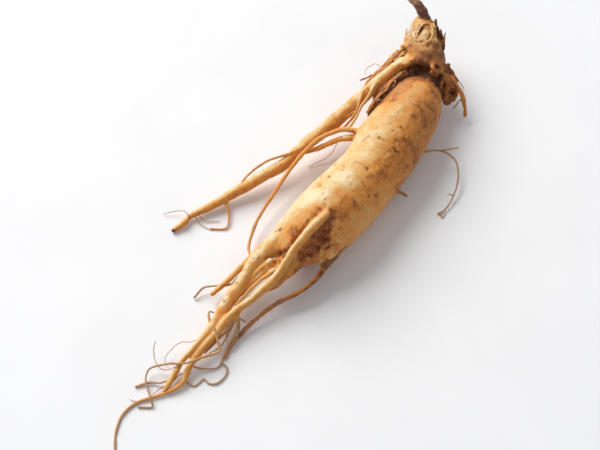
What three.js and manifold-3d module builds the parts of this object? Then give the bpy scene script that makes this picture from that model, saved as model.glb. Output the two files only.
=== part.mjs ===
// A ginseng root lying on a table: the fat main root with its crown at one end and its legs at the other,
// its side roots and rootlets, the stub of last year's stem and the papery scales round it.
// Millimetres. +X runs along the root from tail to crown, +Z is up, and the origin is on the table under
// the belly, in the small flat that the root rests on.
import * as THREE from 'three';
import { mergeVertices } from 'three/addons/utils/BufferGeometryUtils.js';
import Module from 'manifold-3d';

const wasm = await Module();
wasm.setup();

// Driving dimensions
const BODY_SIDES = 26;        // faces round the main root
const NECK_SIDES = 16;        // faces round the crown
const THICK_SIDES = 10;       // faces round a leg or a thick side root
const THIN_SIDES = 5;         // faces round a rootlet
const STUB_SIDES = 12;        // faces round the stem's stub
const FINE_RADIUS = 1.2;      // a limb thinner than this everywhere has THIN_SIDES faces
const RING_STEP = 2;          // a ring of vertices every so many radii along a limb
const SHORTEST_STEP = 3.4;    // but never closer together than this
const LONGEST_STEP = 5;       // and never further apart than this
const GAP = 0.35;             // clearance between two separate pieces that touch
const SCALE_THICKNESS = 0.5;  // a papery scale
const TABLE_DEPTH = 20;       // how far the block reaches that cuts the underside flat

// Every limb is a list of stations [x, y, z, radius], from where it grows out to its tip.
const BODY = [
  [50, -1, 12, 2], [45.5, -0.5, 12, 6.5], [40, 0, 12, 9.6], [35, 0, 12, 11.2], [27, 0, 11.8, 12.1],
  [18, 0, 11.6, 12.4], [6, -0.3, 10.9, 11.7], [-6, 0.7, 11.4, 12.2], [-18, 2.6, 11.8, 12.7],
  [-28, 4.4, 11.3, 12], [-35, 5.6, 11, 9], [-40, 6, 10.6, 4.5],
];
const NECK = [
  [43, -1, 13, 5], [48, 1, 15, 5.2], [52, 4.5, 16, 6.6], [54.5, 7, 17, 7.2], [57.5, 9.5, 17.3, 6.2],
  [61, 11.5, 18, 5.1], [64.5, 13.5, 19, 3.7], [67, 15, 20, 2.8],
];
const SHOULDER = [[54, 8, 13.5, 5], [47, 5.5, 11.5, 6.4], [40, 3.5, 11, 7.5]];
const STEM_STUB = [
  [65, 12.5, 19.2, 1.8], [66.5, 14.4, 20.8, 2.2], [67.6, 16.4, 22.3, 2.1], [68.2, 18.8, 23.6, 1.8],
  [68.6, 21.8, 25, 1.6], [69.8, 26, 26, 1.6],
];

// Papery scales round the crown's tip: bearing in degrees round the tip's line from the top towards -Y,
// width, length, and how far the scale's free end stands off the line.
const TIP_START = [58, 9.7, 17.4];
const TIP_END = [65, 13.7, 19];
const SCALE_STAND_OFF = 7.3;
const SCALES = [
  [-20, 6.4, 7, 5.1], [40, 6.4, 6.5, 5.4], [100, 6, 8, 6.4], [160, 6, 6, 6], [220, 6, 6, 6],
  [280, 6.4, 7.5, 5],
];

const LEGS = {
  left: [
    [-19, 6, 12, 6], [-28, 10, 12, 7.8], [-37, 12.5, 11, 5.4], [-43, 14, 10, 3.8],
    [-49.5, 15, 8.8, 3.1], [-55, 15, 7.8, 2.8], [-61, 15, 6.8, 2.7], [-67, 15, 5.7, 2.6],
    [-73, 15, 4.6, 2.4], [-79.5, 15, 4, 2.2], [-85.5, 14.6, 3.6, 1.9], [-90, 14.4, 3, 1.5],
    [-94, 13.8, 2.2, 1.1], [-99.5, 14.6, 1.3, 0.8], [-107.5, 20, 0.7, 0.75], [-115.5, 24, 0.7, 0.75],
    [-121, 23.4, 0.6, 0.7], [-127.5, 20, 0.6, 0.6], [-132, 16, 0.5, 0.5], [-136, 11.5, 0.4, 0.3],
  ],
  middle: [
    [-18, 2, 19, 1.6], [-22, 2, 22.4, 1.8], [-29.5, 3, 22.4, 1.8], [-35.5, 4, 20.6, 1.7],
    [-40.5, 5, 17.8, 1.7], [-45, 5.5, 15, 1.8], [-52.5, 7, 10.8, 1.9], [-60.5, 9.5, 9.2, 1.7],
    [-70, 12.4, 8.6, 1.7], [-75, 14, 8.2, 1.7], [-80, 15.6, 7.2, 1.7], [-88, 17, 5, 1.5],
    [-97.5, 17.6, 2.6, 1.1], [-103, 17.6, 1.4, 0.9],
  ],
  rump: [
    [-18, 2, 11, 6], [-27, 2, 11, 8.5], [-35, 3, 10.5, 6.2], [-41, 3.6, 10, 4.4],
    [-46.5, 4.5, 9.5, 3.2], [-55, 7.4, 9, 1.9],
  ],
  right: [
    [-16, -2, 10, 5], [-24, -4, 9.5, 6], [-31, -5, 8.5, 3.4], [-35.5, -5.6, 8, 2.1],
    [-39, -5.4, 7.3, 1.5], [-44, -4.4, 6, 1.1], [-54, 0.6, 4, 0.9], [-65, 5, 2.3, 0.75],
    [-75, 7, 1.3, 0.8], [-81, 6.6, 0.7, 0.6],
  ],
};

const SIDE_ROOTS = {
  arm: [
    [55.5, 7, 17, 4], [50.5, 10.5, 18, 2.6], [45.5, 13, 18, 2.2], [39, 15.5, 17, 2.2],
    [32.5, 18, 15, 2.5], [25.5, 20, 13, 2.8], [18, 22.5, 11, 3], [8.5, 25.5, 9, 2.7],
    [0, 28, 7.5, 2.4], [-8.5, 30, 6.3, 2.3], [-16, 34, 5, 2.3], [-22.5, 37, 4, 2.1],
    [-29, 40.5, 3.2, 1.8], [-36, 44, 2.4, 1.5], [-43, 47.6, 1.7, 1.3], [-50.5, 50, 1, 0.9],
  ],
  bow: [
    [16, 8, 15, 1.2], [14.5, 12, 14.6, 1], [13, 16.5, 14, 0.95], [9, 20.5, 13, 0.85],
    [3.5, 23.5, 12, 0.8], [-6.5, 25.5, 9.5, 0.75], [-19.5, 26, 6.5, 0.7], [-32, 25.5, 4.5, 0.6],
    [-42, 22.5, 4.4, 0.6], [-46, 19, 6.2, 0.5],
  ],
  underBow: [
    [14, 8, 13, 1.3], [12.5, 12.5, 12.4, 1.2], [9.5, 16.5, 11.6, 1.1], [2.5, 22, 9.8, 0.95],
    [-1, 26, 8.4, 0.8],
  ],
  armThread: [
    [1, 26.6, 9.4, 0.6], [-4.5, 29.6, 9.2, 0.5], [-11, 35, 8, 0.45], [-19, 38.5, 5.5, 0.4],
    [-25, 39, 4, 0.4],
  ],
  armTwig: [
    [-30, 41, 3, 0.8], [-33, 38, 2, 0.6], [-36, 35.5, 1.2, 0.45], [-39, 34.5, 0.6, 0.35],
    [-42.5, 39.5, 0.3, 0.3],
  ],
  finger: [
    [-33, 12, 12, 2], [-37.5, 16, 10, 1.2], [-41.5, 17, 9.4, 1], [-45.5, 18, 8.5, 1],
    [-50.5, 19, 7.4, 1.15], [-60, 21.5, 5, 1.1], [-64.5, 23, 4, 0.95],
  ],
  fingerThread: [
    [-53, 17, 7, 0.45], [-58.5, 19.5, 5, 0.4], [-62, 25, 3.5, 0.35], [-64, 27.5, 2.5, 0.4],
    [-68.5, 28.5, 0.8, 0.4],
  ],
  flank: [
    [19, -7, 9, 0.9], [23.5, -11.5, 8.6, 0.5], [28, -16, 7, 0.35], [29, -19.5, 6, 0.35],
    [28, -23.5, 5, 0.35], [21, -28, 3, 0.35], [16, -29, 2, 0.3], [11, -29, 1, 0.3],
    [8, -27.5, 0.5, 0.3],
  ],
  flankFork: [[28, -16, 7, 0.35], [30, -18.5, 7.5, 0.3], [32.5, -21.5, 8, 0.25]],
  peg: [[3, -8, 6.5, 0.9], [6, -12, 5, 0.65], [6.5, -15, 4, 0.5]],
  forkKnob: [[-40, 7.5, 10.5, 2.6], [-44.5, 11, 8.8, 1.7], [-48.5, 12, 7.2, 0.8], [-57, 13.4, 5.4, 0.5]],
  forkThread: [[-46, 5, 10, 1], [-51, 9, 8.5, 0.9], [-58, 11.5, 6.7, 0.75], [-61.5, 13, 6, 0.55]],
};

const TAIL_ROOTLETS = {
  loop: [
    [-76, 14, 7.4, 0.5], [-79.5, 10, 6, 0.5], [-81.5, 8.2, 5.3, 0.5], [-85.5, 11, 5.5, 0.5],
    [-91.5, 15.5, 5.6, 0.45], [-95.5, 21.5, 4.4, 0.4], [-99.5, 25.5, 2.8, 0.35],
    [-102.5, 25, 1.8, 0.35], [-108, 19, 1.7, 0.35], [-109.5, 17.2, 0.7, 0.35],
    [-112.5, 21.5, 0.5, 0.35],
  ],
  wave: [
    [-79, 7, 1, 0.5], [-83, 6.5, 0.6, 0.35], [-84, 3.5, 0.5, 0.35], [-86, 2.5, 0.5, 0.35],
    [-90.5, 3.5, 0.5, 0.35], [-92, 6, 0.5, 0.3], [-91.5, 8, 0.5, 0.3], [-95.5, 9.5, 0.5, 0.3],
    [-96, 14, 1.2, 0.3],
  ],
  wavelet: [[-82, 6.6, 0.6, 0.35], [-85.5, 6.5, 0.6, 0.3], [-88, 9, 1, 0.3], [-90.5, 14, 2.2, 0.3]],
  strandA: [[-64, 10.5, 8.6, 0.8], [-68, 10, 7, 0.6], [-77, 11, 5, 0.5], [-84.5, 12.6, 3.5, 0.4]],
  strandB: [[-68, 11.6, 7.6, 0.6], [-72.5, 11.4, 6, 0.45], [-82, 13, 4, 0.4], [-90, 13.6, 2.8, 0.3]],
  strandC: [[-66, 10.4, 7.6, 0.5], [-70, 8.5, 5.5, 0.4], [-75.5, 7.2, 1.6, 0.35]],
  strandD: [[-69, 10.4, 6.6, 0.45], [-67.5, 8, 5.5, 0.4], [-67.5, 6.6, 5, 0.35]],
  hook: [[-75.5, 15.5, 5, 0.6], [-72.5, 19, 5, 0.4], [-71, 19.5, 5, 0.35], [-70.5, 18, 5, 0.3]],
  spur: [[-95, 16.6, 3.2, 0.6], [-100.5, 19, 1.6, 0.35], [-103, 23, 0.9, 0.4], [-107, 26.5, 0.5, 0.45]],
};

const CROWN_ROOTLETS = {
  outerFibre: [
    [54, 11, 17, 1.2], [50, 15.6, 18, 0.7], [46.5, 17, 17.5, 0.6], [34.5, 19, 16, 0.55],
    [29, 19, 14.6, 0.5], [19.5, 18.6, 12, 0.45],
  ],
  outerTwig: [[44, 17.4, 17.2, 0.45], [39, 19, 16, 0.4], [34, 23, 14, 0.35]],
  armFibreA: [[37, 15.6, 18, 0.8], [29, 15.6, 17.6, 0.6], [18.5, 15.5, 15.4, 0.5], [13.6, 15, 14.2, 0.5]],
  armFibreB: [[33, 16.8, 17, 0.7], [26, 16.4, 16.6, 0.5], [17, 17, 14.6, 0.45], [12, 18, 13, 0.5]],
  shoulderCord: [
    [48, 6, 17.5, 1.4], [41.5, 9, 17.6, 1.4], [33.5, 10.5, 17, 1.3], [24, 11.5, 16, 1],
    [20, 12, 15.2, 0.5],
  ],
  shoulderFibre: [[46, 8, 18, 1], [37, 12.4, 16.4, 1], [27, 13.6, 14.4, 0.8], [22, 14, 12.6, 0.6]],
  rightPeg: [[53, -1, 14, 1.4], [56, -5, 13, 0.9], [53, -10.5, 8.5, 0.75], [48, -15.5, 4, 0.7]],
  rightHair: [[55.5, -3.6, 13.4, 0.5], [55, -7.5, 12.5, 0.3], [53.5, -11, 11, 0.25]],
  rightTwig: [[52, -11.6, 7.8, 0.4], [49, -11, 7, 0.3], [46.5, -11, 6, 0.25]],
};
const CROWN_KNOB = [
  [54, 2, 14, 3.2], [54, -2, 12.5, 3.7], [52.5, -5, 10, 3.6], [50.5, -6.6, 7.4, 3.2],
  [49, -7.4, 5.4, 2.2],
];

// Lumps and hollows: [x, y, z] of the middle, then the half length along each of X, Y and Z.
const LUMPS = [
  [[53, 1.5, 19.5], [2.6, 2.6, 2.2]],
  [[52.5, 14, 17], [2.6, 2.6, 2.6]],
  [[-36.5, 10.5, 17], [2.2, 2, 1.6]],
];
const HOLLOWS = [
  [[-32.5, -2.6, 22], [8.5, 3.4, 3.6]],    // the worn brown pit beside the middle leg
  [[-42.5, 9.2, 17], [7, 1.4, 5]],         // the groove between the left and the middle leg
  [[47.2, 4.4, 21.4], [2.2, 4.6, 4.4]],    // the crevice where the crown overhangs the shoulder
];

// Three.js geometry to a closed solid, and back.
function solidOf(geometry) {
  geometry.deleteAttribute('normal');
  geometry.deleteAttribute('uv');
  const merged = mergeVertices(geometry);
  return new wasm.Manifold(new wasm.Mesh({
    numProp: 3,
    vertProperties: merged.getAttribute('position').array,
    triVerts: new Uint32Array(merged.index.array),
  }));
}

function geometryOf(solid) {
  const { vertProperties, triVerts } = solid.getMesh();
  const geometry = new THREE.BufferGeometry();
  geometry.setAttribute('position', new THREE.BufferAttribute(vertProperties, 3));
  geometry.setIndex(new THREE.BufferAttribute(triVerts, 1));
  geometry.computeVertexNormals();
  return geometry;
}

// The middle line of a limb, and its radius along that line.
function courseOf(stations) {
  const line = new THREE.CatmullRomCurve3(stations.map(([x, y, z]) => new THREE.Vector3(x, y, z)));
  const radii = stations.map(([, , , radius]) => new THREE.Vector3(radius, 0, 0));
  const girth = new THREE.CatmullRomCurve3(radii);
  return { line, radiusAt: (t) => girth.getPoint(t).x };
}

// A limb is a lathed cylinder of radius 1 whose rings are moved onto the limb's line and given its girth.
function limb(stations, sides) {
  const { line, radiusAt } = courseOf(stations);
  const thickest = Math.max(...stations.map(([, , , radius]) => radius));
  const faces = sides ?? (thickest < FINE_RADIUS ? THIN_SIDES : THICK_SIDES);
  const meanRadius = stations.reduce((sum, [, , , radius]) => sum + radius, 0) / stations.length;
  const step = THREE.MathUtils.clamp(RING_STEP * meanRadius, SHORTEST_STEP, LONGEST_STEP);
  const rings = Math.ceil(line.getLength() / step);
  const profile = [new THREE.Vector2(0, 0)];
  for (let ring = 0; ring <= rings; ring++) profile.push(new THREE.Vector2(1, ring));
  profile.push(new THREE.Vector2(0, rings));
  const geometry = new THREE.LatheGeometry(profile, faces);
  const { normals, binormals } = line.computeFrenetFrames(rings);
  const position = geometry.getAttribute('position');
  for (let i = 0; i < position.count; i++) {
    const ring = Math.round(position.getY(i));
    const t = line.getUtoTmapping(ring / rings);
    const radius = radiusAt(t);
    const spot = line.getPoint(t);
    spot.addScaledVector(binormals[ring], position.getX(i) * radius);
    spot.addScaledVector(normals[ring], position.getZ(i) * radius);
    position.setXYZ(i, spot.x, spot.y, spot.z);
  }
  return solidOf(geometry);
}

function ellipsoid([centre, halfLengths]) {
  const geometry = new THREE.SphereGeometry(1, 12, 8);
  geometry.scale(...halfLengths);
  geometry.translate(...centre);
  return solidOf(geometry);
}

// A papery scale is a thin strip that narrows to its free end, bent round the line of the crown's tip.
function scaleSolid(bearing, width, length, endStandOff) {
  const along = new THREE.Vector3(...TIP_END).sub(new THREE.Vector3(...TIP_START)).normalize();
  const side = new THREE.Vector3().crossVectors(along, new THREE.Vector3(0, 0, 1)).normalize();
  const up = new THREE.Vector3().crossVectors(side, along);
  const geometry = new THREE.BoxGeometry(width, length, SCALE_THICKNESS, 4, 4, 1);
  const position = geometry.getAttribute('position');
  for (let i = 0; i < position.count; i++) {
    const share = position.getY(i) / length + 0.5;
    const narrowing = 1 - 0.65 * share * share;
    const standOff = THREE.MathUtils.lerp(SCALE_STAND_OFF, endStandOff, share) + position.getZ(i);
    const angle = THREE.MathUtils.degToRad(bearing) + (position.getX(i) * narrowing) / SCALE_STAND_OFF;
    const spot = new THREE.Vector3(...TIP_START).addScaledVector(along, share * length);
    spot.addScaledVector(up, Math.cos(angle) * standOff);
    spot.addScaledVector(side, Math.sin(angle) * standOff);
    position.setXYZ(i, spot.x, spot.y, spot.z);
  }
  return solidOf(geometry);
}

// Everything under the table top, which cuts flats where the root rests.
function tableBlock() {
  const geometry = new THREE.BoxGeometry(400, 400, TABLE_DEPTH);
  geometry.translate(0, 0, -TABLE_DEPTH / 2);
  return solidOf(geometry);
}

function rootSolid() {
  let solid = limb(BODY, BODY_SIDES).add(limb(NECK, NECK_SIDES));
  for (const stations of [SHOULDER, CROWN_KNOB]) solid = solid.add(limb(stations));
  for (const lump of LUMPS) solid = solid.add(ellipsoid(lump));
  for (const stations of Object.values(LEGS)) solid = solid.add(limb(stations));
  for (const hollow of HOLLOWS) solid = solid.subtract(ellipsoid(hollow));
  for (const group of [SIDE_ROOTS, TAIL_ROOTLETS, CROWN_ROOTLETS]) {
    for (const stations of Object.values(group)) solid = solid.add(limb(stations));
  }
  return solid.subtract(tableBlock());
}

const skin = new THREE.MeshStandardMaterial({ color: 0xd9a765, roughness: 0.75, metalness: 0 });
const papery = new THREE.MeshStandardMaterial({ color: 0xb8905c, roughness: 0.85, metalness: 0 });
const stemBark = new THREE.MeshStandardMaterial({ color: 0x5a3430, roughness: 0.7, metalness: 0 });

const ginseng = new THREE.Group();

function addPiece(name, solid, material) {
  const mesh = new THREE.Mesh(geometryOf(solid), material);
  mesh.name = name;
  ginseng.add(mesh);
}

// The stub grows out of a socket in the crown's tip that clears it all round.
const socket = limb(STEM_STUB.map(([x, y, z, radius]) => [x, y, z, radius + GAP]), STUB_SIDES);
addPiece('root', rootSolid().subtract(socket), skin);
addPiece('stem_stub', limb(STEM_STUB, STUB_SIDES), stemBark);
SCALES.forEach((scale, index) => addPiece(`bud_scale_${index + 1}`, scaleSolid(...scale), papery));

export default ginseng;
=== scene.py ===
"""A dried ginseng root on a pale table.

Lengths are in millimetres until a mesh is made, in the part's frame: +X runs from the root's tail to its
crown, +Z up. The thick limbs are two skins, each drawn as a distance field of tapered limbs that melt into
each other: the body with its legs, and the crown with its arm. Lumps, rings, creases and pits then move each
skin, and its colours are kept as attributes of its vertices. The thin rootlets are swept tubes whose feet
belong to those skins."""

import math
from typing import NamedTuple

import bpy
import numpy as np
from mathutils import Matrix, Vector


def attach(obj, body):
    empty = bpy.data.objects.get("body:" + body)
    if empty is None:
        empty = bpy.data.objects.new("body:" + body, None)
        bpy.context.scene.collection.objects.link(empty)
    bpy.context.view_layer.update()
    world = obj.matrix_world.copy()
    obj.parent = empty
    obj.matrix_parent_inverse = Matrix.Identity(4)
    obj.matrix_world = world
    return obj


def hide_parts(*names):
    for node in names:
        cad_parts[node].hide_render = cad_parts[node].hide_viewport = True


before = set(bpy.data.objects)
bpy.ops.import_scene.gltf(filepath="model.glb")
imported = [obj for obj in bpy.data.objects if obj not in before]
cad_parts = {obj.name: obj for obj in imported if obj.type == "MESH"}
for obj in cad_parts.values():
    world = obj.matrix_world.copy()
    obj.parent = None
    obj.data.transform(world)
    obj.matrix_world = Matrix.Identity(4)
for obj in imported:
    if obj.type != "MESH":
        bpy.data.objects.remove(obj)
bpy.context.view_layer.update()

MM = 0.001
COARSE = 1.0
ROOT_CELL = 0.40 * COARSE             # grid step of the body's and legs' skin
CROWN_CELL = 0.30 * COARSE            # grid step of the crown's and arm's skin
FAR = 4.0                             # distances beyond this aren't needed
NOWHERE = 1e3                         # a distance greater than any
LIMB_ROOM, BALL_ROOM = 1.2, 1.0       # grid kept round a limb or a ball, beyond its melt
FIELD_ROOM, FIELD_FLOOR = 2.0, -1.2   # grid kept round all the limbs, and how far it goes below the table
TABLE = 0.05                          # the skins are cut flat at this height
LIMB_STEP = 1.2                       # spacing of the points along a thick limb's curve
CORNERS = [(dx, dy, dz) for dx in (0, 1) for dy in (0, 1) for dz in (0, 1)]   # of a grid's cell

# ---------------- stations [x, y, z, radius] of every limb
BODY = [
    [49.5, -0.2, 12, 2], [45, 0.3, 12, 5.2], [40, 0.7, 12, 8.3], [35, 0.6, 12, 10.3], [27, 0.2, 11.8, 11.8],
    [18, 0, 11.6, 12.3], [6, -0.3, 10.9, 11.7], [-6, 0.7, 11.4, 12.2], [-18, 2.6, 11.8, 12.5],
    [-26, 4.4, 11.4, 11.5], [-32, 5.6, 11.2, 9.2], [-37, 6.2, 10.8, 6.2], [-41, 6.4, 10.4, 3.4],
]
RUMP = [
    [-18, 2, 11, 6], [-27, 2.4, 11.2, 7.6], [-34, 3.6, 11.2, 5.4], [-39.5, 4.2, 10.8, 3.8],
    [-45, 4.6, 10, 2.7], [-49.5, 5.2, 9.4, 2], [-53.5, 6, 9, 1.4],
]
LEG_LEFT = [
    [-19, 6, 12, 6], [-27.5, 9, 12, 6.4], [-34, 11, 11.4, 5.2], [-38.6, 12.9, 10.9, 3.9],
    [-42.6, 14.2, 10.4, 3], [-47.3, 15.5, 9.4, 2.6], [-51.7, 15.8, 8.8, 2.35], [-55.7, 15.7, 8, 2.3],
    [-59.8, 15.7, 7.2, 2.4], [-64.1, 15.8, 6.4, 2.3], [-68.3, 15.6, 6, 2.15], [-72, 15.2, 5.8, 2],
    [-76.6, 15.2, 5.7, 1.7], [-81.4, 15.8, 5.3, 1.4], [-86, 16.5, 4.7, 1.3], [-91, 17.5, 3.8, 1.1],
    [-94.7, 17.3, 3, 1.05], [-98.5, 16.9, 2.2, 1], [-102.8, 16.9, 1.2, 0.8],
]
LEG_RIGHT = [
    [-16, -2, 10, 5], [-23, -3.4, 9.8, 4.9], [-30, -5, 9.2, 2.9], [-35.4, -5.9, 8.5, 1.5],
    [-38.8, -5.9, 8, 1.15], [-41.6, -5.5, 7.6, 0.95], [-44.6, -4.6, 7, 0.9], [-47.2, -3.6, 6.5, 0.85],
    [-50.4, -1.6, 5.8, 0.85],
]
LEG_MIDDLE = [
    [-23.4, 1.3, 22.5, 1.6], [-25.4, 1.5, 22.7, 1.6], [-29.5, 2.3, 22.6, 1.55],
    [-33.5, 3.2, 21.6, 1.55], [-36.8, 3.8, 20.2, 1.5], [-40.1, 4.4, 18, 1.45], [-43.4, 4.7, 15.8, 1.45],
    [-46.4, 5.1, 13.6, 1.45], [-49.8, 5.6, 12, 1.5], [-52.3, 6.1, 11, 1.55], [-55.8, 7.4, 10, 1.6],
    [-58.5, 8.2, 9.4, 1.55], [-61.6, 9.1, 9, 1.45], [-66, 10.9, 8.4, 1.5], [-71, 12.4, 7.2, 1.55],
    [-75.4, 12.7, 6.2, 1.5], [-80, 13.3, 5.4, 1.5], [-84.5, 14, 4.6, 1.5], [-88.7, 14.4, 3.6, 1.2],
    [-92.5, 14.1, 2.7, 0.95], [-96, 13.3, 2, 0.8],
]
FORK_KNOB = [[-41, 6.5, 9.6, 2.6], [-44.8, 9.2, 10, 1.5], [-46.2, 10.4, 10.4, 1.3], [-47.2, 10.9, 9.8, 1.1]]
FINGER = [
    [-33, 13.4, 12.4, 1.6], [-38.4, 15.5, 12, 1.1], [-42.5, 16.8, 11, 0.95], [-46.6, 17.9, 9.4, 1],
    [-50.5, 19, 7.6, 1.15], [-60, 21.5, 5, 1.1], [-64.5, 23, 4, 1],
]
NECK = [
    [43, -1, 13, 5], [48, 1, 15, 5.2], [52, 4.5, 16, 6.6], [54.5, 7, 17, 7.2], [57.5, 9.9, 17.3, 6.6],
    [61, 12.1, 18, 5.7], [64, 13.9, 19, 4.4], [66.4, 15, 20, 2.8],
]
SHOULDER = [[54, 8, 13.5, 5], [47, 5.5, 11.5, 6.2], [40, 3.5, 11, 7]]
CROWN_KNOB = [
    [54, 2, 14, 3.2], [54, -2, 12.5, 3.5], [52.5, -4.6, 10, 3.3], [50.5, -6, 7.6, 3], [49, -7, 5.6, 2],
]
ARM = [
    [55.5, 7, 17, 4], [50.5, 10.6, 18, 2.2], [45.5, 13, 18, 1.95], [39, 15.1, 17, 2.1],
    [32.5, 17.3, 15, 2.3], [25.5, 19.3, 13, 2.6], [18, 21.8, 11, 2.8], [8.5, 24.9, 9, 2.55],
    [0, 27.5, 7.5, 2.3], [-8.5, 29.8, 6.3, 2.25], [-16, 34, 5, 2.25], [-22.5, 37, 4, 2.05],
    [-29, 40.5, 3.2, 1.8], [-36, 44, 2.4, 1.5], [-43.2, 48, 1.8, 1.1], [-46, 48.3, 1.7, 1.22],
    [-50.5, 50, 1, 0.9],
]
CURL = [
    [51.4, 1.8, 21.6, 0.5], [50.8, 1.7, 22.1, 0.55], [49.5, 1.4, 22, 0.7], [48.8, 0.5, 21.5, 0.75],
    [49, -0.6, 20.8, 0.65], [50, -1.6, 20.1, 0.55], [51.4, -2.5, 19.2, 0.5],
]
RIM = [
    [51.4, 0, 18, 1.2], [50.8, -2.4, 18.2, 1.1], [51.2, -3.9, 16.6, 1.2], [50.6, -5.2, 14.4, 1.2],
    [49.2, -5.8, 11.8, 1.3], [47.6, -6.2, 9, 1.2],
]
STRAP_LEFT = [
    [54, -1.6, 17, 1.2], [53, -3.6, 16.4, 0.8], [52, -5.4, 15.4, 0.9], [51.6, -6.8, 13, 0.9],
    [50.4, -7.4, 10.6, 1],
]
STRAP_RIGHT = [
    [55, -2.4, 16.4, 1.2], [54.6, -5, 15.2, 0.8], [53.8, -7, 13.4, 0.9], [52.8, -8.2, 11, 1],
    [51.2, -8.8, 8.6, 1.1], [49.6, -8.6, 6.8, 1.2],
]
DOME_LIP = [
    [46.4, 11, 19.4, 1.5], [49.4, 7.8, 20.8, 1.7], [50.4, 4.6, 21, 1.7], [51, 1.6, 20.2, 1.5],
    [51, -1, 18.8, 1.3],
]
BUD_RIM = [
    [56.4, 12.6, 23.3, 0.45], [58.5, 13.1, 23.7, 0.5], [60.2, 13.3, 23.9, 0.5], [62.8, 13, 23.6, 0.5],
    [64.2, 11.6, 23.2, 0.5], [63.4, 9.8, 23.3, 0.5], [61.4, 8.6, 23.4, 0.55], [59.2, 7.6, 23.3, 0.5],
]
FRILL = [
    [57.2, 16.1, 20.4, 0.5], [55.6, 14.3, 21.6, 0.5], [55.2, 12.8, 22.4, 0.45], [54.6, 10.8, 23, 0.5],
    [55.4, 9.6, 23.4, 0.45], [56.4, 8.6, 23.4, 0.5],
]
STEM_STUB = [
    [64, 12.6, 20, 1.9], [65.4, 14, 21.4, 2.2], [66.8, 15.8, 23, 2.15], [67.8, 18, 24.4, 1.85],
    [68.4, 20.8, 25.4, 1.6], [69.4, 25.6, 26, 1.55],
]
TAIL = [
    [-92.5, 14.1, 2.7, 1], [-96, 13.3, 2, 0.85], [-98.4, 13.6, 1.6, 0.8], [-101.1, 14.9, 1.3, 0.75],
    [-103.4, 16.4, 1, 0.6], [-107.5, 19.7, 0.8, 0.52], [-111.8, 22.9, 0.6, 0.5], [-117.6, 24.1, 0.5, 0.46],
    [-123, 22.8, 0.5, 0.42], [-129, 19, 0.4, 0.38], [-136, 11.5, 0.3, 0.3],
]

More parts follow.
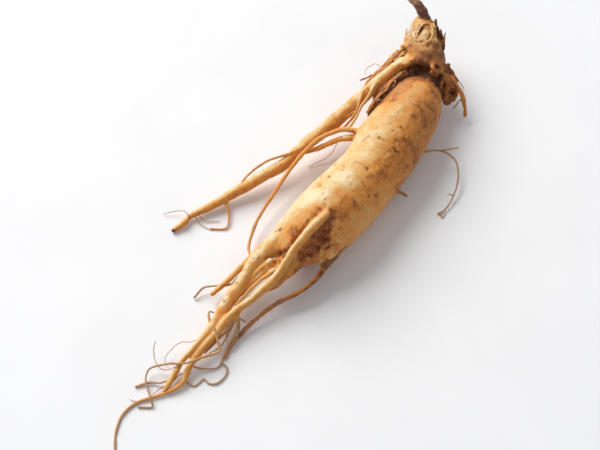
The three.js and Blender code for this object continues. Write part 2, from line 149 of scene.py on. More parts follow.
THIN = {                              # rootlets, from the root outwards: stations of each
    "tail": TAIL,
    "right_thread": [
        [-49, -2.6, 6.1, 0.8], [-51, -1.3, 5.6, 0.8], [-54.3, 0.8, 5, 0.95], [-57.9, 2.7, 4.1, 0.9],
        [-61.8, 4.2, 3.3, 0.8], [-66.4, 5.6, 2.6, 0.85], [-71.5, 6.5, 1.6, 0.85], [-74.6, 7.1, 1.2, 0.85],
        [-78, 7, 1, 0.75], [-81.4, 6.4, 0.7, 0.6],
    ],
    "bow": [
        [16, 8, 15, 1.2], [14.5, 12, 14.6, 1], [13, 16.5, 14, 0.95], [9, 20.5, 13, 0.85],
        [3.5, 23.5, 12, 0.8], [-6.5, 25.5, 9.5, 0.75], [-19.5, 26, 6.5, 0.7], [-32, 25.5, 4.5, 0.6],
        [-42, 22.5, 4.4, 0.6], [-46, 19, 6.2, 0.5],
    ],
    "under_bow": [
        [14, 8, 13, 1.3], [12.5, 12.5, 12.4, 1.2], [9.5, 16.5, 11.6, 1.1], [2.5, 22, 9.8, 0.95],
        [-1, 26, 8.4, 0.8],
    ],
    "arm_thread": [
        [1, 26.6, 9.4, 0.6], [-4.5, 29.6, 9.2, 0.5], [-11, 35, 8, 0.45], [-19, 38.5, 5.5, 0.4],
        [-25, 39, 4, 0.4],
    ],
    "arm_twig": [
        [-30, 41, 3, 0.8], [-33, 38, 2, 0.6], [-36, 35.5, 1.2, 0.45], [-39, 34.5, 0.6, 0.35],
        [-42.5, 39.5, 0.3, 0.3],
    ],
    "finger_thread": [
        [-53, 17, 7, 0.45], [-58.5, 19.5, 5, 0.4], [-62, 25, 3.5, 0.35], [-64, 27.5, 2.5, 0.4],
        [-68.5, 28.5, 0.8, 0.4],
    ],
    "flank": [
        [19, -7, 9, 0.9], [23.5, -11.5, 8.6, 0.5], [28, -16, 7, 0.35], [29, -19.5, 6, 0.35],
        [28, -23.5, 5, 0.35], [21, -28, 3, 0.35], [16, -29, 2, 0.3], [11, -29, 1, 0.3],
        [8, -27.5, 0.5, 0.3],
    ],
    "flank_fork": [[28, -16, 7, 0.35], [30, -18.5, 7.5, 0.3], [32.5, -21.5, 8, 0.25]],
    "peg": [[3, -8, 6.5, 0.9], [6, -12, 5, 0.65], [6.5, -15, 4, 0.5]],
    "fork_thread_a": [
        [-45.4, 9.8, 10.4, 1.1], [-47.4, 11.6, 10.2, 1], [-49.3, 12.4, 9.8, 1], [-51.7, 13, 9.2, 0.95],
        [-54.2, 13.3, 8.2, 0.8], [-56.4, 13.5, 7.2, 0.5],
    ],
    "fork_thread_b": [
        [-45, 7, 10, 1.1], [-47.6, 8, 10.3, 1], [-49.4, 8.8, 9.8, 0.85], [-51.8, 10, 9.2, 0.75],
        [-54.4, 10.9, 8.6, 0.7], [-56.7, 11.5, 8, 0.7], [-59.7, 12, 7.4, 0.7], [-62.3, 12.4, 7, 0.65],
        [-64.7, 12.7, 7, 0.55],
    ],
    "loop": [
        [-76, 14, 7.4, 0.5], [-79.5, 10, 6, 0.5], [-81.5, 8.2, 5.3, 0.5], [-85.5, 11, 5.5, 0.5],
        [-91.5, 15.5, 5.6, 0.45], [-95.5, 21.5, 4.4, 0.4], [-99.5, 25.5, 2.8, 0.35],
        [-102.5, 25, 1.8, 0.35], [-108, 19, 1.7, 0.35], [-109.5, 17.2, 0.7, 0.35],
        [-112.5, 21.5, 0.5, 0.35],
    ],
    "wave": [
        [-79, 7, 1, 0.5], [-83, 6.5, 0.6, 0.35], [-84, 3.5, 0.5, 0.35], [-86, 2.5, 0.5, 0.35],
        [-90.5, 3.5, 0.5, 0.35], [-92, 6, 0.5, 0.3], [-91.5, 8, 0.5, 0.3], [-95.5, 9.5, 0.5, 0.3],
        [-96, 14, 1.2, 0.3],
    ],
    "wavelet": [[-82, 6.6, 0.6, 0.35], [-85.5, 6.5, 0.6, 0.3], [-88, 9, 1, 0.3], [-90.5, 14, 2.2, 0.3]],
    "strand_a": [[-64, 10.5, 8.6, 0.8], [-68, 10, 7, 0.6], [-77, 11, 5, 0.5], [-84.5, 12.6, 3.5, 0.4]],
    "strand_b": [[-68, 11.6, 7.6, 0.6], [-72.5, 11.4, 6, 0.45], [-82, 13, 4, 0.4], [-90, 13.6, 2.8, 0.3]],
    "strand_c": [[-66, 10.4, 7.6, 0.5], [-70, 8.5, 5.5, 0.4], [-75.5, 7.2, 1.6, 0.35]],
    "strand_d": [[-69, 10.4, 6.6, 0.45], [-67.5, 8, 5.5, 0.4], [-67.5, 6.6, 5, 0.35]],
    "hook": [[-75.5, 15.5, 5, 0.6], [-72.5, 19, 5, 0.4], [-71, 19.5, 5, 0.35], [-70.5, 18, 5, 0.3]],
    "spur": [[-95, 16.6, 3.2, 0.6], [-100.5, 19, 1.6, 0.35], [-103, 23, 0.9, 0.4], [-107, 26.5, 0.5, 0.45]],
    "outer_fibre": [
        [54, 11, 17, 1.2], [51, 15.6, 17.8, 0.9], [46.8, 17.4, 17.4, 0.75], [42, 18.2, 16.8, 0.65],
        [38.9, 18.8, 16.6, 0.6], [35, 19.4, 15.8, 0.55], [30.8, 19.9, 14.8, 0.5], [27, 19.8, 13.8, 0.5],
        [22.6, 19.6, 12.8, 0.4],
    ],
    "outer_strand": [
        [31, 18.6, 16.2, 0.6], [27, 18, 15.6, 0.5], [22.6, 17.2, 14.6, 0.55], [18.6, 17, 13.4, 0.45],
        [14.5, 17.6, 12, 0.4],
    ],
    "outer_twig": [[44, 17.4, 17.2, 0.45], [39, 19, 16, 0.4], [34, 23, 14, 0.35]],
    "arm_fibre_a": [
        [35, 16, 17, 0.8], [32.7, 16.2, 17.4, 0.65], [30.4, 16, 17.2, 0.6], [27.1, 15.9, 16.6, 0.55],
        [24.3, 16.2, 15.8, 0.6], [21.8, 15.9, 15.2, 0.5], [19.5, 15.5, 14.6, 0.5], [16.4, 15.5, 14, 0.45],
        [14.3, 15.7, 13.4, 0.45],
    ],
    "arm_fibre_b": [
        [32, 15.4, 16, 0.7], [28.8, 15.4, 15.8, 0.55], [25.2, 16.4, 15.2, 0.5], [22.4, 17, 14.4, 0.5],
        [19.6, 17, 13.8, 0.45], [16.4, 17.2, 13.2, 0.45], [13.5, 17.8, 12.6, 0.45],
    ],
    "arm_fibre_c": [
        [33, 18, 16.4, 0.5], [29.8, 18.7, 16.4, 0.42], [27.3, 18.2, 16.2, 0.4], [24.9, 17.6, 15.8, 0.4],
        [22.4, 16.8, 15, 0.4],
    ],
    "arm_fibre_d": [
        [31, 18.2, 15.8, 0.5], [28.1, 18.5, 15.6, 0.4], [24.8, 18.6, 15, 0.4], [21.8, 18.6, 14.2, 0.35],
        [20.3, 18.9, 13.4, 0.3],
    ],
    "arm_fibre_e": [
        [22.4, 17, 14.4, 0.35], [20.9, 17.9, 14, 0.3], [19, 18.8, 13.2, 0.28], [17.6, 19.8, 12.4, 0.25],
    ],
    "shoulder_cord": [
        [46, 8, 15.8, 1.2], [42.8, 9.3, 16.7, 1.1], [40, 10.4, 17.2, 1], [37.2, 10.7, 17.2, 1.05],
        [34.7, 11, 16.8, 1], [32, 11.2, 16.2, 1.1], [29.3, 11.6, 15.6, 1], [27.1, 12, 14.8, 0.9],
        [24.8, 12.3, 13.8, 0.7], [23, 12.7, 13, 0.4],
    ],
    "shoulder_fibre": [
        [45, 10, 17.4, 0.9], [41.3, 10.9, 17.8, 0.65], [38.4, 11.7, 17.8, 0.6], [35.5, 12.4, 17.6, 0.7],
        [32.5, 12.7, 17.2, 0.65], [29.8, 12.9, 16.6, 0.6], [27.5, 13.1, 16, 0.55], [25.3, 13.3, 15, 0.5],
        [23.2, 13.4, 14, 0.4],
    ],
    "shoulder_shred": [
        [39, 11.6, 16.6, 0.6], [35.4, 13.2, 16, 0.7], [32.6, 14.4, 15, 0.8], [30.4, 14, 14.8, 0.7],
        [28.5, 13.6, 14.4, 0.45],
    ],
    "web_fibre_a": [
        [51.6, 14.4, 18.2, 0.6], [49, 14.6, 18.4, 0.5], [45.6, 15.2, 18.2, 0.5], [42.6, 16, 17.6, 0.45],
        [39.6, 17, 17, 0.4],
    ],
    "web_fibre_b": [
        [52.4, 16, 18, 0.5], [49, 15.8, 18.2, 0.4], [46, 16.2, 18, 0.45], [42.4, 16.8, 17.2, 0.35],
        [40, 18.6, 16.4, 0.3],
    ],
    "web_fibre_c": [
        [44.6, 10.6, 17, 0.6], [41.6, 12, 17.2, 0.5], [38.6, 12.6, 17, 0.55], [35.6, 13.8, 16.4, 0.45],
        [33, 13.4, 15.8, 0.4],
    ],
    "web_fibre_d": [
        [42.5, 10.2, 18.3, 0.35], [39, 11.5, 18.4, 0.3], [35.6, 11.3, 18.3, 0.3], [32, 12, 17.6, 0.25],
        [28, 12.2, 16.6, 0.25],
    ],
    "web_fibre_e": [
        [43.6, 10.2, 17.6, 0.4], [42.4, 10.6, 18, 0.3], [40, 11.1, 18.4, 0.35], [37, 10.4, 18.5, 0.3],
        [33.5, 11.4, 17.6, 0.2],
    ],
    "outer_shred": [
        [52, 15.4, 18.4, 0.7], [49, 16.2, 18.2, 0.6], [45, 16.8, 17.6, 0.6], [41.6, 17.2, 17.2, 0.5],
        [38.8, 17.8, 16.8, 0.5], [36, 18.6, 16.2, 0.35],
    ],
    "right_peg": [
        [53, -4.6, 15.4, 0.8], [52.8, -7.4, 14, 0.55], [52.3, -9.4, 12.5, 0.6], [51.6, -11.2, 10.5, 0.8],
        [50.9, -12.7, 8.5, 0.8], [50, -14, 6.5, 0.7], [48.9, -15, 4.5, 0.7], [48, -15.6, 3, 0.62],
    ],
    "right_hair": [
        [54.4, -4.6, 15, 0.35], [54.6, -7.1, 13.5, 0.25], [54.7, -9, 11.5, 0.2], [54.6, -10.6, 9.5, 0.18],
    ],
    "right_twig": [
        [51.4, -12, 8, 0.35], [51.5, -11.4, 6.8, 0.28], [50, -10.8, 5, 0.25], [48.4, -10.2, 3, 0.25],
    ],
}


# ---------------- noise
PRIMES = (73856093, 19349663, 83492791, 15485863)   # they scatter a cell's place over the whole numbers
LOW_31_BITS, LOW_24_BITS = 0x7FFFFFFF, 0xFFFFFF


def cell_noise(ix, iy, iz, seed):
    """One fixed number from -1 to 1 for each cell of a grid."""
    n = (ix * PRIMES[0]) ^ (iy * PRIMES[1]) ^ (iz * PRIMES[2]) ^ (seed * PRIMES[3] + 1013)
    n = (n & LOW_31_BITS).astype(np.int64)
    n = ((n >> 13) ^ n) * 60493 + 19990303
    n = n & LOW_31_BITS
    n = ((n >> 11) ^ n) * 15731 + 789221
    return (n & LOW_24_BITS) / float(LOW_24_BITS >> 1) - 1.0


def noise(p, seed=0):
    """Smooth value noise, about -1 to 1, at points p of shape (n, 3)."""
    base = np.floor(p).astype(np.int64)
    t = p - base
    t = t * t * t * (t * (t * 6 - 15) + 10)
    shares = np.stack([1 - t, t])
    total = np.zeros(len(p))
    for dx, dy, dz in CORNERS:
        weight = shares[dx, :, 0] * shares[dy, :, 1] * shares[dz, :, 2]
        total += weight * cell_noise(base[:, 0] + dx, base[:, 1] + dy, base[:, 2] + dz, seed)
    return total


def fractal(p, size, octaves=3, seed=0):
    """Layers of noise, about -1 to 1: lumps of this size, then half as large and half as high, and so on."""
    total, weight, gain = np.zeros(len(p)), 0.0, 1.0
    for octave in range(octaves):
        total += gain * noise(p / size * 2**octave + 17.3 * octave, seed + octave)
        weight += gain
        gain *= 0.5
    return total / weight


def relief(p, layers):
    """The sum of layers of fractal noise, each with its height, size, octaves and seed."""
    return sum(height * fractal(p, size, octaves, seed) for height, size, octaves, seed in layers)


def smoothstep(low, high, x):
    """0 up to low, 1 from high on, and smooth between; low may be the larger of the two."""
    t = np.clip((x - low) / (high - low), 0, 1)
    return t * t * (3 - 2 * t)


def bell(d, steep=1.0):
    """1 where d is 0, falling softly to 0."""
    return np.exp(-steep * d * d)


def within(p, centre, half, inner, outer, ragged=0.0):
    """1 inside an ellipsoid and 0 outside it; it fades between these two shares of its half lengths."""
    reach = np.linalg.norm((p - centre) / half, axis=1) + ragged
    return 1 - smoothstep(inner, outer, reach)


def fleck(p, place, size, ragged, seed):
    """Distance from a place over size, with a ragged outline: 1 at the fleck's edge."""
    d = np.linalg.norm(p - place, axis=1) / size
    near = d < 2.5
    d[near] += ragged * fractal(p[near], max(size, 0.8) * 0.8, 3, seed)
    return d


# ---------------- limbs
def run_length(points):
    """Length along a line of points, from its start to each point."""
    return np.concatenate([[0], np.cumsum(np.linalg.norm(np.diff(points[:, :3], axis=0), axis=1))])


def course(stations, spacing):
    """Points [x, y, z, radius] along a centripetal Catmull-Rom curve through the stations."""
    p = np.array(stations, float)
    q = np.vstack([2 * p[0] - p[1], p, 2 * p[-1] - p[-2]])
    q[[0, -1], 3] = p[[0, -1], 3]
    rows = []
    for i in range(1, len(q) - 2):
        span = np.linalg.norm(q[i + 1, :3] - q[i, :3])
        count = max(2, math.ceil(span / spacing))
        steps = [math.sqrt(np.linalg.norm(q[k + 1, :3] - q[k, :3])) for k in (i - 1, i, i + 1)]
        knot = np.concatenate([[0], np.cumsum(steps)])
        t = np.linspace(knot[1], knot[2], count, endpoint=False)[:, None]

        def between(a, b, ka, kb):
            return (a * (kb - t) + b * (t - ka)) / (kb - ka)

        a1 = between(q[i - 1], q[i], knot[0], knot[1])
        a2 = between(q[i], q[i + 1], knot[1], knot[2])
        a3 = between(q[i + 1], q[i + 2], knot[2], knot[3])
        b1 = between(a1, a2, knot[0], knot[2])
        b2 = between(a2, a3, knot[1], knot[3])
        rows.append(between(b1, b2, knot[1], knot[2]))
    points = np.vstack([*rows, p[-1:]])
    points[:, 3] = np.maximum(points[:, 3], 0.12)
    return points


def segment_distance(x, y, z, a, b):
    """Distance to a tapered segment from a to b, both [x, y, z, radius], and the share of the way along."""
    d = b[:3] - a[:3]
    px, py, pz = x - a[0], y - a[1], z - a[2]
    t = np.clip((px * d[0] + py * d[1] + pz * d[2]) / max(d @ d, 1e-9), 0, 1)
    dx, dy, dz = px - t * d[0], py - t * d[1], pz - t * d[2]
    return np.sqrt(dx * dx + dy * dy + dz * dz) - (a[3] + t * (b[3] - a[3])), t


class Field:
    """A distance field on a grid, negative inside."""

    def __init__(self, low, high, cell):
        self.cell = cell
        self.low = np.array(low, float)
        self.shape = np.ceil((np.array(high, float) - self.low) / cell).astype(int) + 1
        self.distance = np.full(self.shape, FAR, np.float32)

    def window(self, low, high):
        """The part of the grid between two corners, as a slice for each axis."""
        i = np.clip(np.floor((np.array(low) - self.low) / self.cell).astype(int), 0, self.shape - 1)
        j = np.clip(np.ceil((np.array(high) - self.low) / self.cell).astype(int) + 1, i + 1, self.shape)
        return tuple(slice(a, b) for a, b in zip(i, j))

    def axes(self, window):
        """The window's x, y and z, shaped so that they spread over its grid."""
        line = [self.low[k] + self.cell * np.arange(window[k].start, window[k].stop) for k in range(3)]
        return line[0][:, None, None], line[1][None, :, None], line[2][None, None, :]

    def limb(self, points, melt):
        """The window round a limb, and the distance to the limb in it."""
        reach = points[:, 3].max() + melt + LIMB_ROOM
        whole = self.window(points[:, :3].min(0) - reach, points[:, :3].max(0) + reach)
        mine = np.full([s.stop - s.start for s in whole], FAR, np.float32)
        for a, b in zip(points[:-1], points[1:]):
            reach = max(a[3], b[3]) + melt + LIMB_ROOM
            near = self.window(np.minimum(a[:3], b[:3]) - reach, np.maximum(a[:3], b[:3]) + reach)
            d, _ = segment_distance(*self.axes(near), a, b)
            inner = tuple(slice(s.start - o.start, s.stop - o.start) for s, o in zip(near, whole))
            np.minimum(mine[inner], d, out=mine[inner])
        return whole, mine

    def ball(self, centre, half, melt):
        """The window round an ellipsoid, and nearly the distance to the ellipsoid in it."""
        reach = np.array(half) + melt + BALL_ROOM
        window = self.window(np.array(centre) - reach, np.array(centre) + reach)
        u, v, w = ((line - middle) / h for line, middle, h in zip(self.axes(window), centre, half))
        inward = np.sqrt(u * u + v * v + w * w)
        slope = np.sqrt((u / half[0]) ** 2 + (v / half[1]) ** 2 + (w / half[2]) ** 2)
        return window, inward * (inward - 1) / np.maximum(slope, 1e-6)

    def join(self, window, mine, melt):
        """Adds a shape, which melts into what is there."""
        old, mine = self.distance[window], mine.astype(np.float32)
        blend = np.maximum(melt - np.abs(old - mine), 0) / melt
        self.distance[window] = np.minimum(old, mine) - blend * blend * melt / 4

    def cut(self, window, mine, melt, rough, size, seed):
        """Takes a shape away, with lumps of this height and size on the cut."""
        x, y, z = np.broadcast_arrays(*self.axes(window))
        p = np.stack([x.ravel(), y.ravel(), z.ravel()], 1)
        mine = mine + rough * fractal(p, size, 3, seed).reshape(mine.shape)
        old = self.distance[window]
        blend = np.maximum(melt - np.abs(old + mine), 0) / melt
        self.distance[window] = np.maximum(old, -mine) + blend * blend * melt / 4

    def cut_below(self, height):
        """Cuts everything flat at this height."""
        z = self.low[2] + self.cell * np.arange(self.shape[2])
        self.distance = np.maximum(self.distance, (height - z)[None, None, :].astype(np.float32))

    def value(self, point):
        """The distance at the grid point nearest to this point."""
        cell = np.round((point - self.low) / self.cell).astype(int)
        if np.any(cell < 0) or np.any(cell >= self.shape):
            return FAR
        return self.distance[tuple(cell)]

    def surface(self):
        """Vertices and quads of the zero surface, one vertex in each cell that it crosses."""
        inside = self.distance < 0
        size = self.shape - 1
        count = np.zeros(size, np.int8)
        for dx, dy, dz in CORNERS:
            count += inside[dx:dx + size[0], dy:dy + size[1], dz:dz + size[2]]
        cell = np.argwhere((count > 0) & (count < 8))
        value = {c: self.distance[tuple((cell + c).T)].astype(float) for c in CORNERS}
        total, crossings = np.zeros((len(cell), 3)), np.zeros(len(cell))
        for c in CORNERS:
            for axis in range(3):
                if c[axis]:
                    continue
                e = tuple(v + (k == axis) for k, v in enumerate(c))
                crosses = (value[c] < 0) != (value[e] < 0)
                point = np.tile(np.array(c, float), (len(cell), 1))
                point[:, axis] = np.where(crosses, value[c] / np.where(crosses, value[c] - value[e], 1), 0)
                total += point * crosses[:, None]
                crossings += crosses
        vertices = self.low + self.cell * (cell + total / crossings[:, None])
        number = np.full(size, -1, np.int32)
        number[tuple(cell.T)] = np.arange(len(cell))
        return vertices, np.vstack([self.quads_across(axis, inside, number) for axis in range(3)])

    def quads_across(self, axis, inside, number):
        """A quad for each grid edge along this axis that is crossed; number holds the cells' vertices."""
        size = self.shape - 1
        u, v = (axis + 1) % 3, (axis + 2) % 3
        back, ahead = [slice(None)] * 3, [slice(None)] * 3
        back[axis], ahead[axis] = slice(0, -1), slice(1, None)
        edge = np.argwhere(inside[tuple(back)] != inside[tuple(ahead)])
        edge = edge[(edge[:, u] > 0) & (edge[:, v] > 0) & (edge[:, u] < size[u]) & (edge[:, v] < size[v])]
        step_u, step_v = np.eye(3, dtype=int)[u], np.eye(3, dtype=int)[v]
        steps = [0, step_u, step_u + step_v, step_v]
        ring = np.stack([number[tuple((edge - step).T)] for step in steps], 1)
        outward = inside[tuple(edge.T)]
        ring[~outward] = ring[~outward][:, ::-1]
        return ring


# ---------------- what the two skins are made of, in order
# limb: name, stations, melt (how widely it melts into what is there); ball: centre, half lengths, melt;
# cut: centre, half lengths, melt, roughness, size of its lumps; groove: stations, then as a cut
ROOT_RECIPE = [
    ("limb", "body", BODY, 1.0),
    ("limb", "left_shoulder", [[42, 3.8, 12.4, 5.8], [40.5, 4.4, 12.6, 6.2], [36, 3.6, 12.8, 7.5],
        [31, 2.4, 12.4, 9]], 1.6),
    ("limb", "rump", RUMP, 1.6),
    ("limb", "web", [[-44, 9.4, 9, 3], [-48, 11, 8.6, 2], [-52, 12, 8, 1.5], [-56, 12.6, 7, 1.1],
        [-59, 13, 6, 0.8]], 0.8),
    ("limb", "armpit", [[45, 9.6, 14.6, 2.4], [40.8, 11.6, 15, 1.9], [36.8, 12.8, 14.8, 1.5],
        [33.1, 13.2, 14.2, 1.3], [29.7, 13.4, 13.6, 0.8]], 0.5),
    ("limb", "leg_left", LEG_LEFT, 1.8),
    ("limb", "leg_right", LEG_RIGHT, 1.6),
    ("ball", (-31.6, -5.8, 12.2), (2.6, 2, 2.4), 1.4),
    ("ball", (-35.2, -4.4, 10.6), (1.4, 1.3, 1.6), 0.6),
    ("ball", (-42.6, 2.8, 10.4), (4, 1.7, 2.8), 1.4),
    ("cut", (-25.4, -1.6, 24), (3.8, 2.6, 3.2), 1.6, 0.8, 2.4),
    ("cut", (-30.4, -1, 21.8), (4.8, 4, 5.2), 1.6, 1.1, 2.8),
    ("cut", (-35.4, 0.2, 19), (4.6, 3.2, 5.6), 1.6, 1.1, 2.4),
    ("cut", (-39.6, 1.8, 16.4), (3, 2, 3.4), 1.0, 0.8, 1.8),
    ("groove", [[-33, -2.6, 14.6, 0.7], [-30, -5, 15.6, 0.6], [-27.6, -7.4, 14.4, 0.6],
        [-26, -9.2, 11.6, 0.7]], 0.4, 0.3, 1.2),
    ("groove", [[-34.4, -2.6, 12, 0.5], [-33.6, -5, 10.2, 0.6], [-34, -6.4, 8.6, 0.5]], 0.4, 0.2, 1.2),
    ("groove", [[-31.4, 5.9, 22.2, 0.5], [-29.8, 5.5, 22.8, 0.7], [-28, 4.9, 23.2, 0.5]], 0.3, 0.2, 1),
    ("groove", [[-23, 3.2, 24.4, 0.5], [-27, 4, 23.4, 0.6], [-31, 4.8, 22, 0.6], [-35, 5.6, 20, 0.7],
        [-38, 6, 18, 0.8]], 0.5, 0.3, 1.4),
    ("groove", [[-38.4, 6.6, 14.4, 0.8], [-40.9, 8.3, 13.2, 1.1], [-43.1, 10.4, 12.2, 1],
        [-45.2, 12.8, 11.2, 0.7]], 0.4, 0.3, 1.4),
    ("ball", (-50.2, 4.6, 8.8), (2.4, 1.1, 1.3), 1.0),
    ("limb", "leg_middle", LEG_MIDDLE, 0.45),
    ("limb", "fork_knob", FORK_KNOB, 0.7),
    ("limb", "finger", FINGER, 0.5),
    ("limb", "vein", [[-34.4, 11.6, 16.6, 0.35], [-35.6, 10.6, 16.2, 0.35], [-37.4, 9.6, 15, 0.35],
        [-39.2, 7.6, 13.4, 0.4], [-40.4, 6.6, 12.6, 0.5]], 0.3),
    ("ball", (-45.8, 10.6, 11.4), (1.5, 1.4, 1.5), 0.3),
]
CROWN_RECIPE = [
    ("limb", "neck", NECK, 1.2),
    ("limb", "shoulder", SHOULDER, 1.2),
    ("limb", "knob", CROWN_KNOB, 0.8),
    ("limb", "arm_web", [[52, 14.4, 16.4, 2], [50.6, 14.9, 16.6, 1.7], [47.1, 15.1, 16.2, 1.4],
        [43.6, 15.8, 16.2, 1.2], [40.1, 16.6, 15.8, 1]], 0.6),
    ("ball", (53, 15, 17.4), (2.2, 2, 2.4), 0.6),
    ("ball", (57.5, 15.2, 17.5), (3, 2.6, 3), 1.2),
    ("ball", (56, 3.4, 19.6), (2.4, 2.4, 2.4), 1.0),
    ("ball", (52, -5.4, 13.2), (1.6, 1.5, 1.8), 0.6),
    ("ball", (48.4, -7.4, 7), (2, 1.8, 2.2), 0.6),
    ("cut", (46.4, 5.4, 21.2), (3, 4.4, 4.6), 0.5, 0.6, 1.8),
    ("groove", [[43.4, 9, 20, 1.4], [45, 7.4, 20.2, 2], [47, 5, 20.4, 2.4], [47.6, 2.2, 20.4, 2],
        [46.8, -0.4, 19.8, 1.5], [46.4, -2.8, 18.6, 1.2], [45.4, -5.2, 15.8, 0.9]], 0.5, 0.4, 1.6),
    ("limb", "dome_lip", DOME_LIP, 1.4),
    ("cut", (49, -2.5, 18), (1.5, 1.3, 3), 0.4, 0.2, 1.2),
    ("limb", "frill", FRILL, 0.5),
    ("ball", (58.8, 10.2, 22.3), (2.7, 2.2, 1.9), 0.5),
    ("limb", "bud_rim", BUD_RIM, 0.35),
    ("groove", [[62.4, 12.2, 24.2, 0.45], [60.6, 12.4, 24.1, 0.6], [59.2, 12.4, 24, 0.55],
        [57.9, 12, 23.8, 0.35]], 0.25, 0.1, 1),
    ("limb", "right_wrap", [[65.4, 10.6, 22, 0.7], [63.8, 9, 22.6, 0.8], [61.8, 7.8, 22.7, 0.8],
        [59.8, 6.6, 22.8, 0.7]], 0.4),
    ("ball", (57.4, 5.6, 22.8), (2.6, 1.7, 1.1), 0.6),
    ("limb", "tongue", [[52, 1.4, 19, 1.8], [50.2, 1.1, 19.2, 1.7], [48.6, 0.9, 19.2, 1.4]], 0.7),
    ("limb", "lobe", [[50.8, -1.4, 16.8, 1.2], [49.4, -2.4, 16.4, 1.1], [48.2, -3.4, 15.6, 0.9]], 0.4),
    ("cut", (50.4, 0.2, 21.2), (1.3, 0.8, 1.3), 0.3, 0.2, 1),
    ("limb", "curl", CURL, 0.35),
    ("limb", "rim", RIM, 0.5),
    ("limb", "strap_left", STRAP_LEFT, 0.4),
    ("limb", "strap_right", STRAP_RIGHT, 0.4),
    ("ball", (55.4, -2.2, 17), (1.2, 0.9, 1.3), 0.6),
    ("cut", (50.6, -7.8, 10.8), (0.8, 0.9, 2.4), 0.3, 0.3, 1),
    ("limb", "arm", ARM, 1.2),
]
GROOVE_STEP = 0.8                     # spacing of the points along a groove
FOOT_LENGTH = 4                       # a thin limb is part of the skin this far from where it leaves it
FOOT_STEP, FOOT_MELT, FOOT_LEAST = 1.0, 0.6, 0.35   # spacing of its points, its melt, its smallest radius
OWNER_REACH = 3                       # a limb owns no vertex farther than this from its own surface


def build_field(recipe, courses, cell):
    """The field of one skin; courses holds the points of its limbs by name."""
    low = np.min([c[:, :3].min(0) - c[:, 3].max() for c in courses.values()], axis=0) - FIELD_ROOM
    high = np.max([c[:, :3].max(0) + c[:, 3].max() for c in courses.values()], axis=0) + FIELD_ROOM
    low[2] = FIELD_FLOOR
    field = Field(low, high, cell)
    for seed, (kind, *step) in enumerate(recipe):
        if kind == "limb":
            name, _, melt = step
            field.join(*field.limb(courses[name], melt), melt)
        elif kind == "ball":
            centre, half, melt = step
            field.join(*field.ball(centre, half, melt), melt)
        elif kind == "cut":
            centre, half, melt, rough, size = step
            field.cut(*field.ball(centre, half, melt), melt, rough, size, seed)
        else:
            stations, melt, rough, size = step
            field.cut(*field.limb(course(stations, GROOVE_STEP), melt), melt, rough, size, seed)
    return field


def add_feet(field):
    """The first stretch of each thin limb that leaves the skin grows out of the skin itself."""
    for stations in THIN.values():
        points = course(stations, FOOT_STEP)
        if field.value(points[0, :3]) > 0:
            continue
        run = run_length(points)
        foot = points[run <= run[-1] * 0.5].copy()
        first_out = np.argmax([field.value(p) > 0 for p in foot[:, :3]])
        foot = foot[: first_out + 1 + FOOT_LENGTH]
        if len(foot) < 2:
            continue
        fade = np.linspace(1, 0, len(foot))
        foot[:, 3] = np.maximum(foot[:, 3] * (0.8 + 0.35 * fade), FOOT_LEAST)
        field.join(*field.limb(foot, FOOT_MELT), FOOT_MELT)


class Marks(NamedTuple):
    """What each vertex of a skin knows of its nearest limb."""
    owner: np.ndarray      # the limb's number
    along: np.ndarray      # length along it
    radius: np.ndarray     # its radius there
    bearing: np.ndarray    # angle round it
    lead: np.ndarray       # 0 to 1: how much nearer it is than the next limb


def owners(vertices, names, courses):
    """The marks of every vertex."""
    count = len(vertices)
    best, second = np.full(count, NOWHERE), np.full(count, NOWHERE)
    owner, along = np.zeros(count, int), np.zeros(count)
    radius, bearing = np.ones(count), np.zeros(count)
    for index, name in enumerate(names):
        points = courses[name]
        pad = points[:, 3].max() + OWNER_REACH
        low, high = points[:, :3].min(0) - pad, points[:, :3].max(0) + pad
        near = np.flatnonzero(np.all((vertices > low) & (vertices < high), axis=1))
        v = vertices[near]
        mine = np.full(len(v), NOWHERE)
        mine_along, mine_radius, mine_bearing = np.zeros(len(v)), np.ones(len(v)), np.zeros(len(v))
        run = 0.0
        for a, b in zip(points[:-1], points[1:]):
            length = np.linalg.norm(b[:3] - a[:3])
            reach = max(a[3], b[3]) + OWNER_REACH
            low, high = np.minimum(a, b)[:3] - reach, np.maximum(a, b)[:3] + reach
            here = np.flatnonzero(np.all((v > low) & (v < high), axis=1))
            d, t = segment_distance(v[here, 0], v[here, 1], v[here, 2], a, b)
            nearer = d < mine[here]
            here, d, t = here[nearer], d[nearer], t[nearer]
            axis = (b[:3] - a[:3]) / max(length, 1e-6)
            side = np.cross(axis, [0, 0, 1.0])
            side /= max(np.linalg.norm(side), 1e-6)
            up = np.cross(side, axis)
            off = v[here] - (a[:3] + t[:, None] * (b[:3] - a[:3]))
            mine[here] = d
            mine_along[here] = run + t * length
            mine_radius[here] = a[3] + t * (b[3] - a[3])
            mine_bearing[here] = np.arctan2(off @ side, off @ up)
            run += length
        wins = mine < best[near]
        second[near] = np.where(wins, best[near], np.minimum(second[near], mine))
        won = near[wins]
        best[won], owner[won] = mine[wins], index
        along[won], radius[won], bearing[won] = mine_along[wins], mine_radius[wins], mine_bearing[wins]
    return Marks(owner, along, radius, bearing, lead=np.clip((second - best) / 0.8, 0, 1))


def vertex_normals(vertices, faces):
    """Outward normals of a mesh of quads, each quad weighted by its area."""
    a, b, c, d = (vertices[faces[:, k]] for k in range(4))
    across = np.cross(c - a, d - b)
    total = np.zeros_like(vertices)
    for k in range(4):
        for axis in range(3):
            total[:, axis] += np.bincount(faces[:, k], across[:, axis], len(vertices))
    return total / np.maximum(np.linalg.norm(total, axis=1), 1e-9)[:, None]


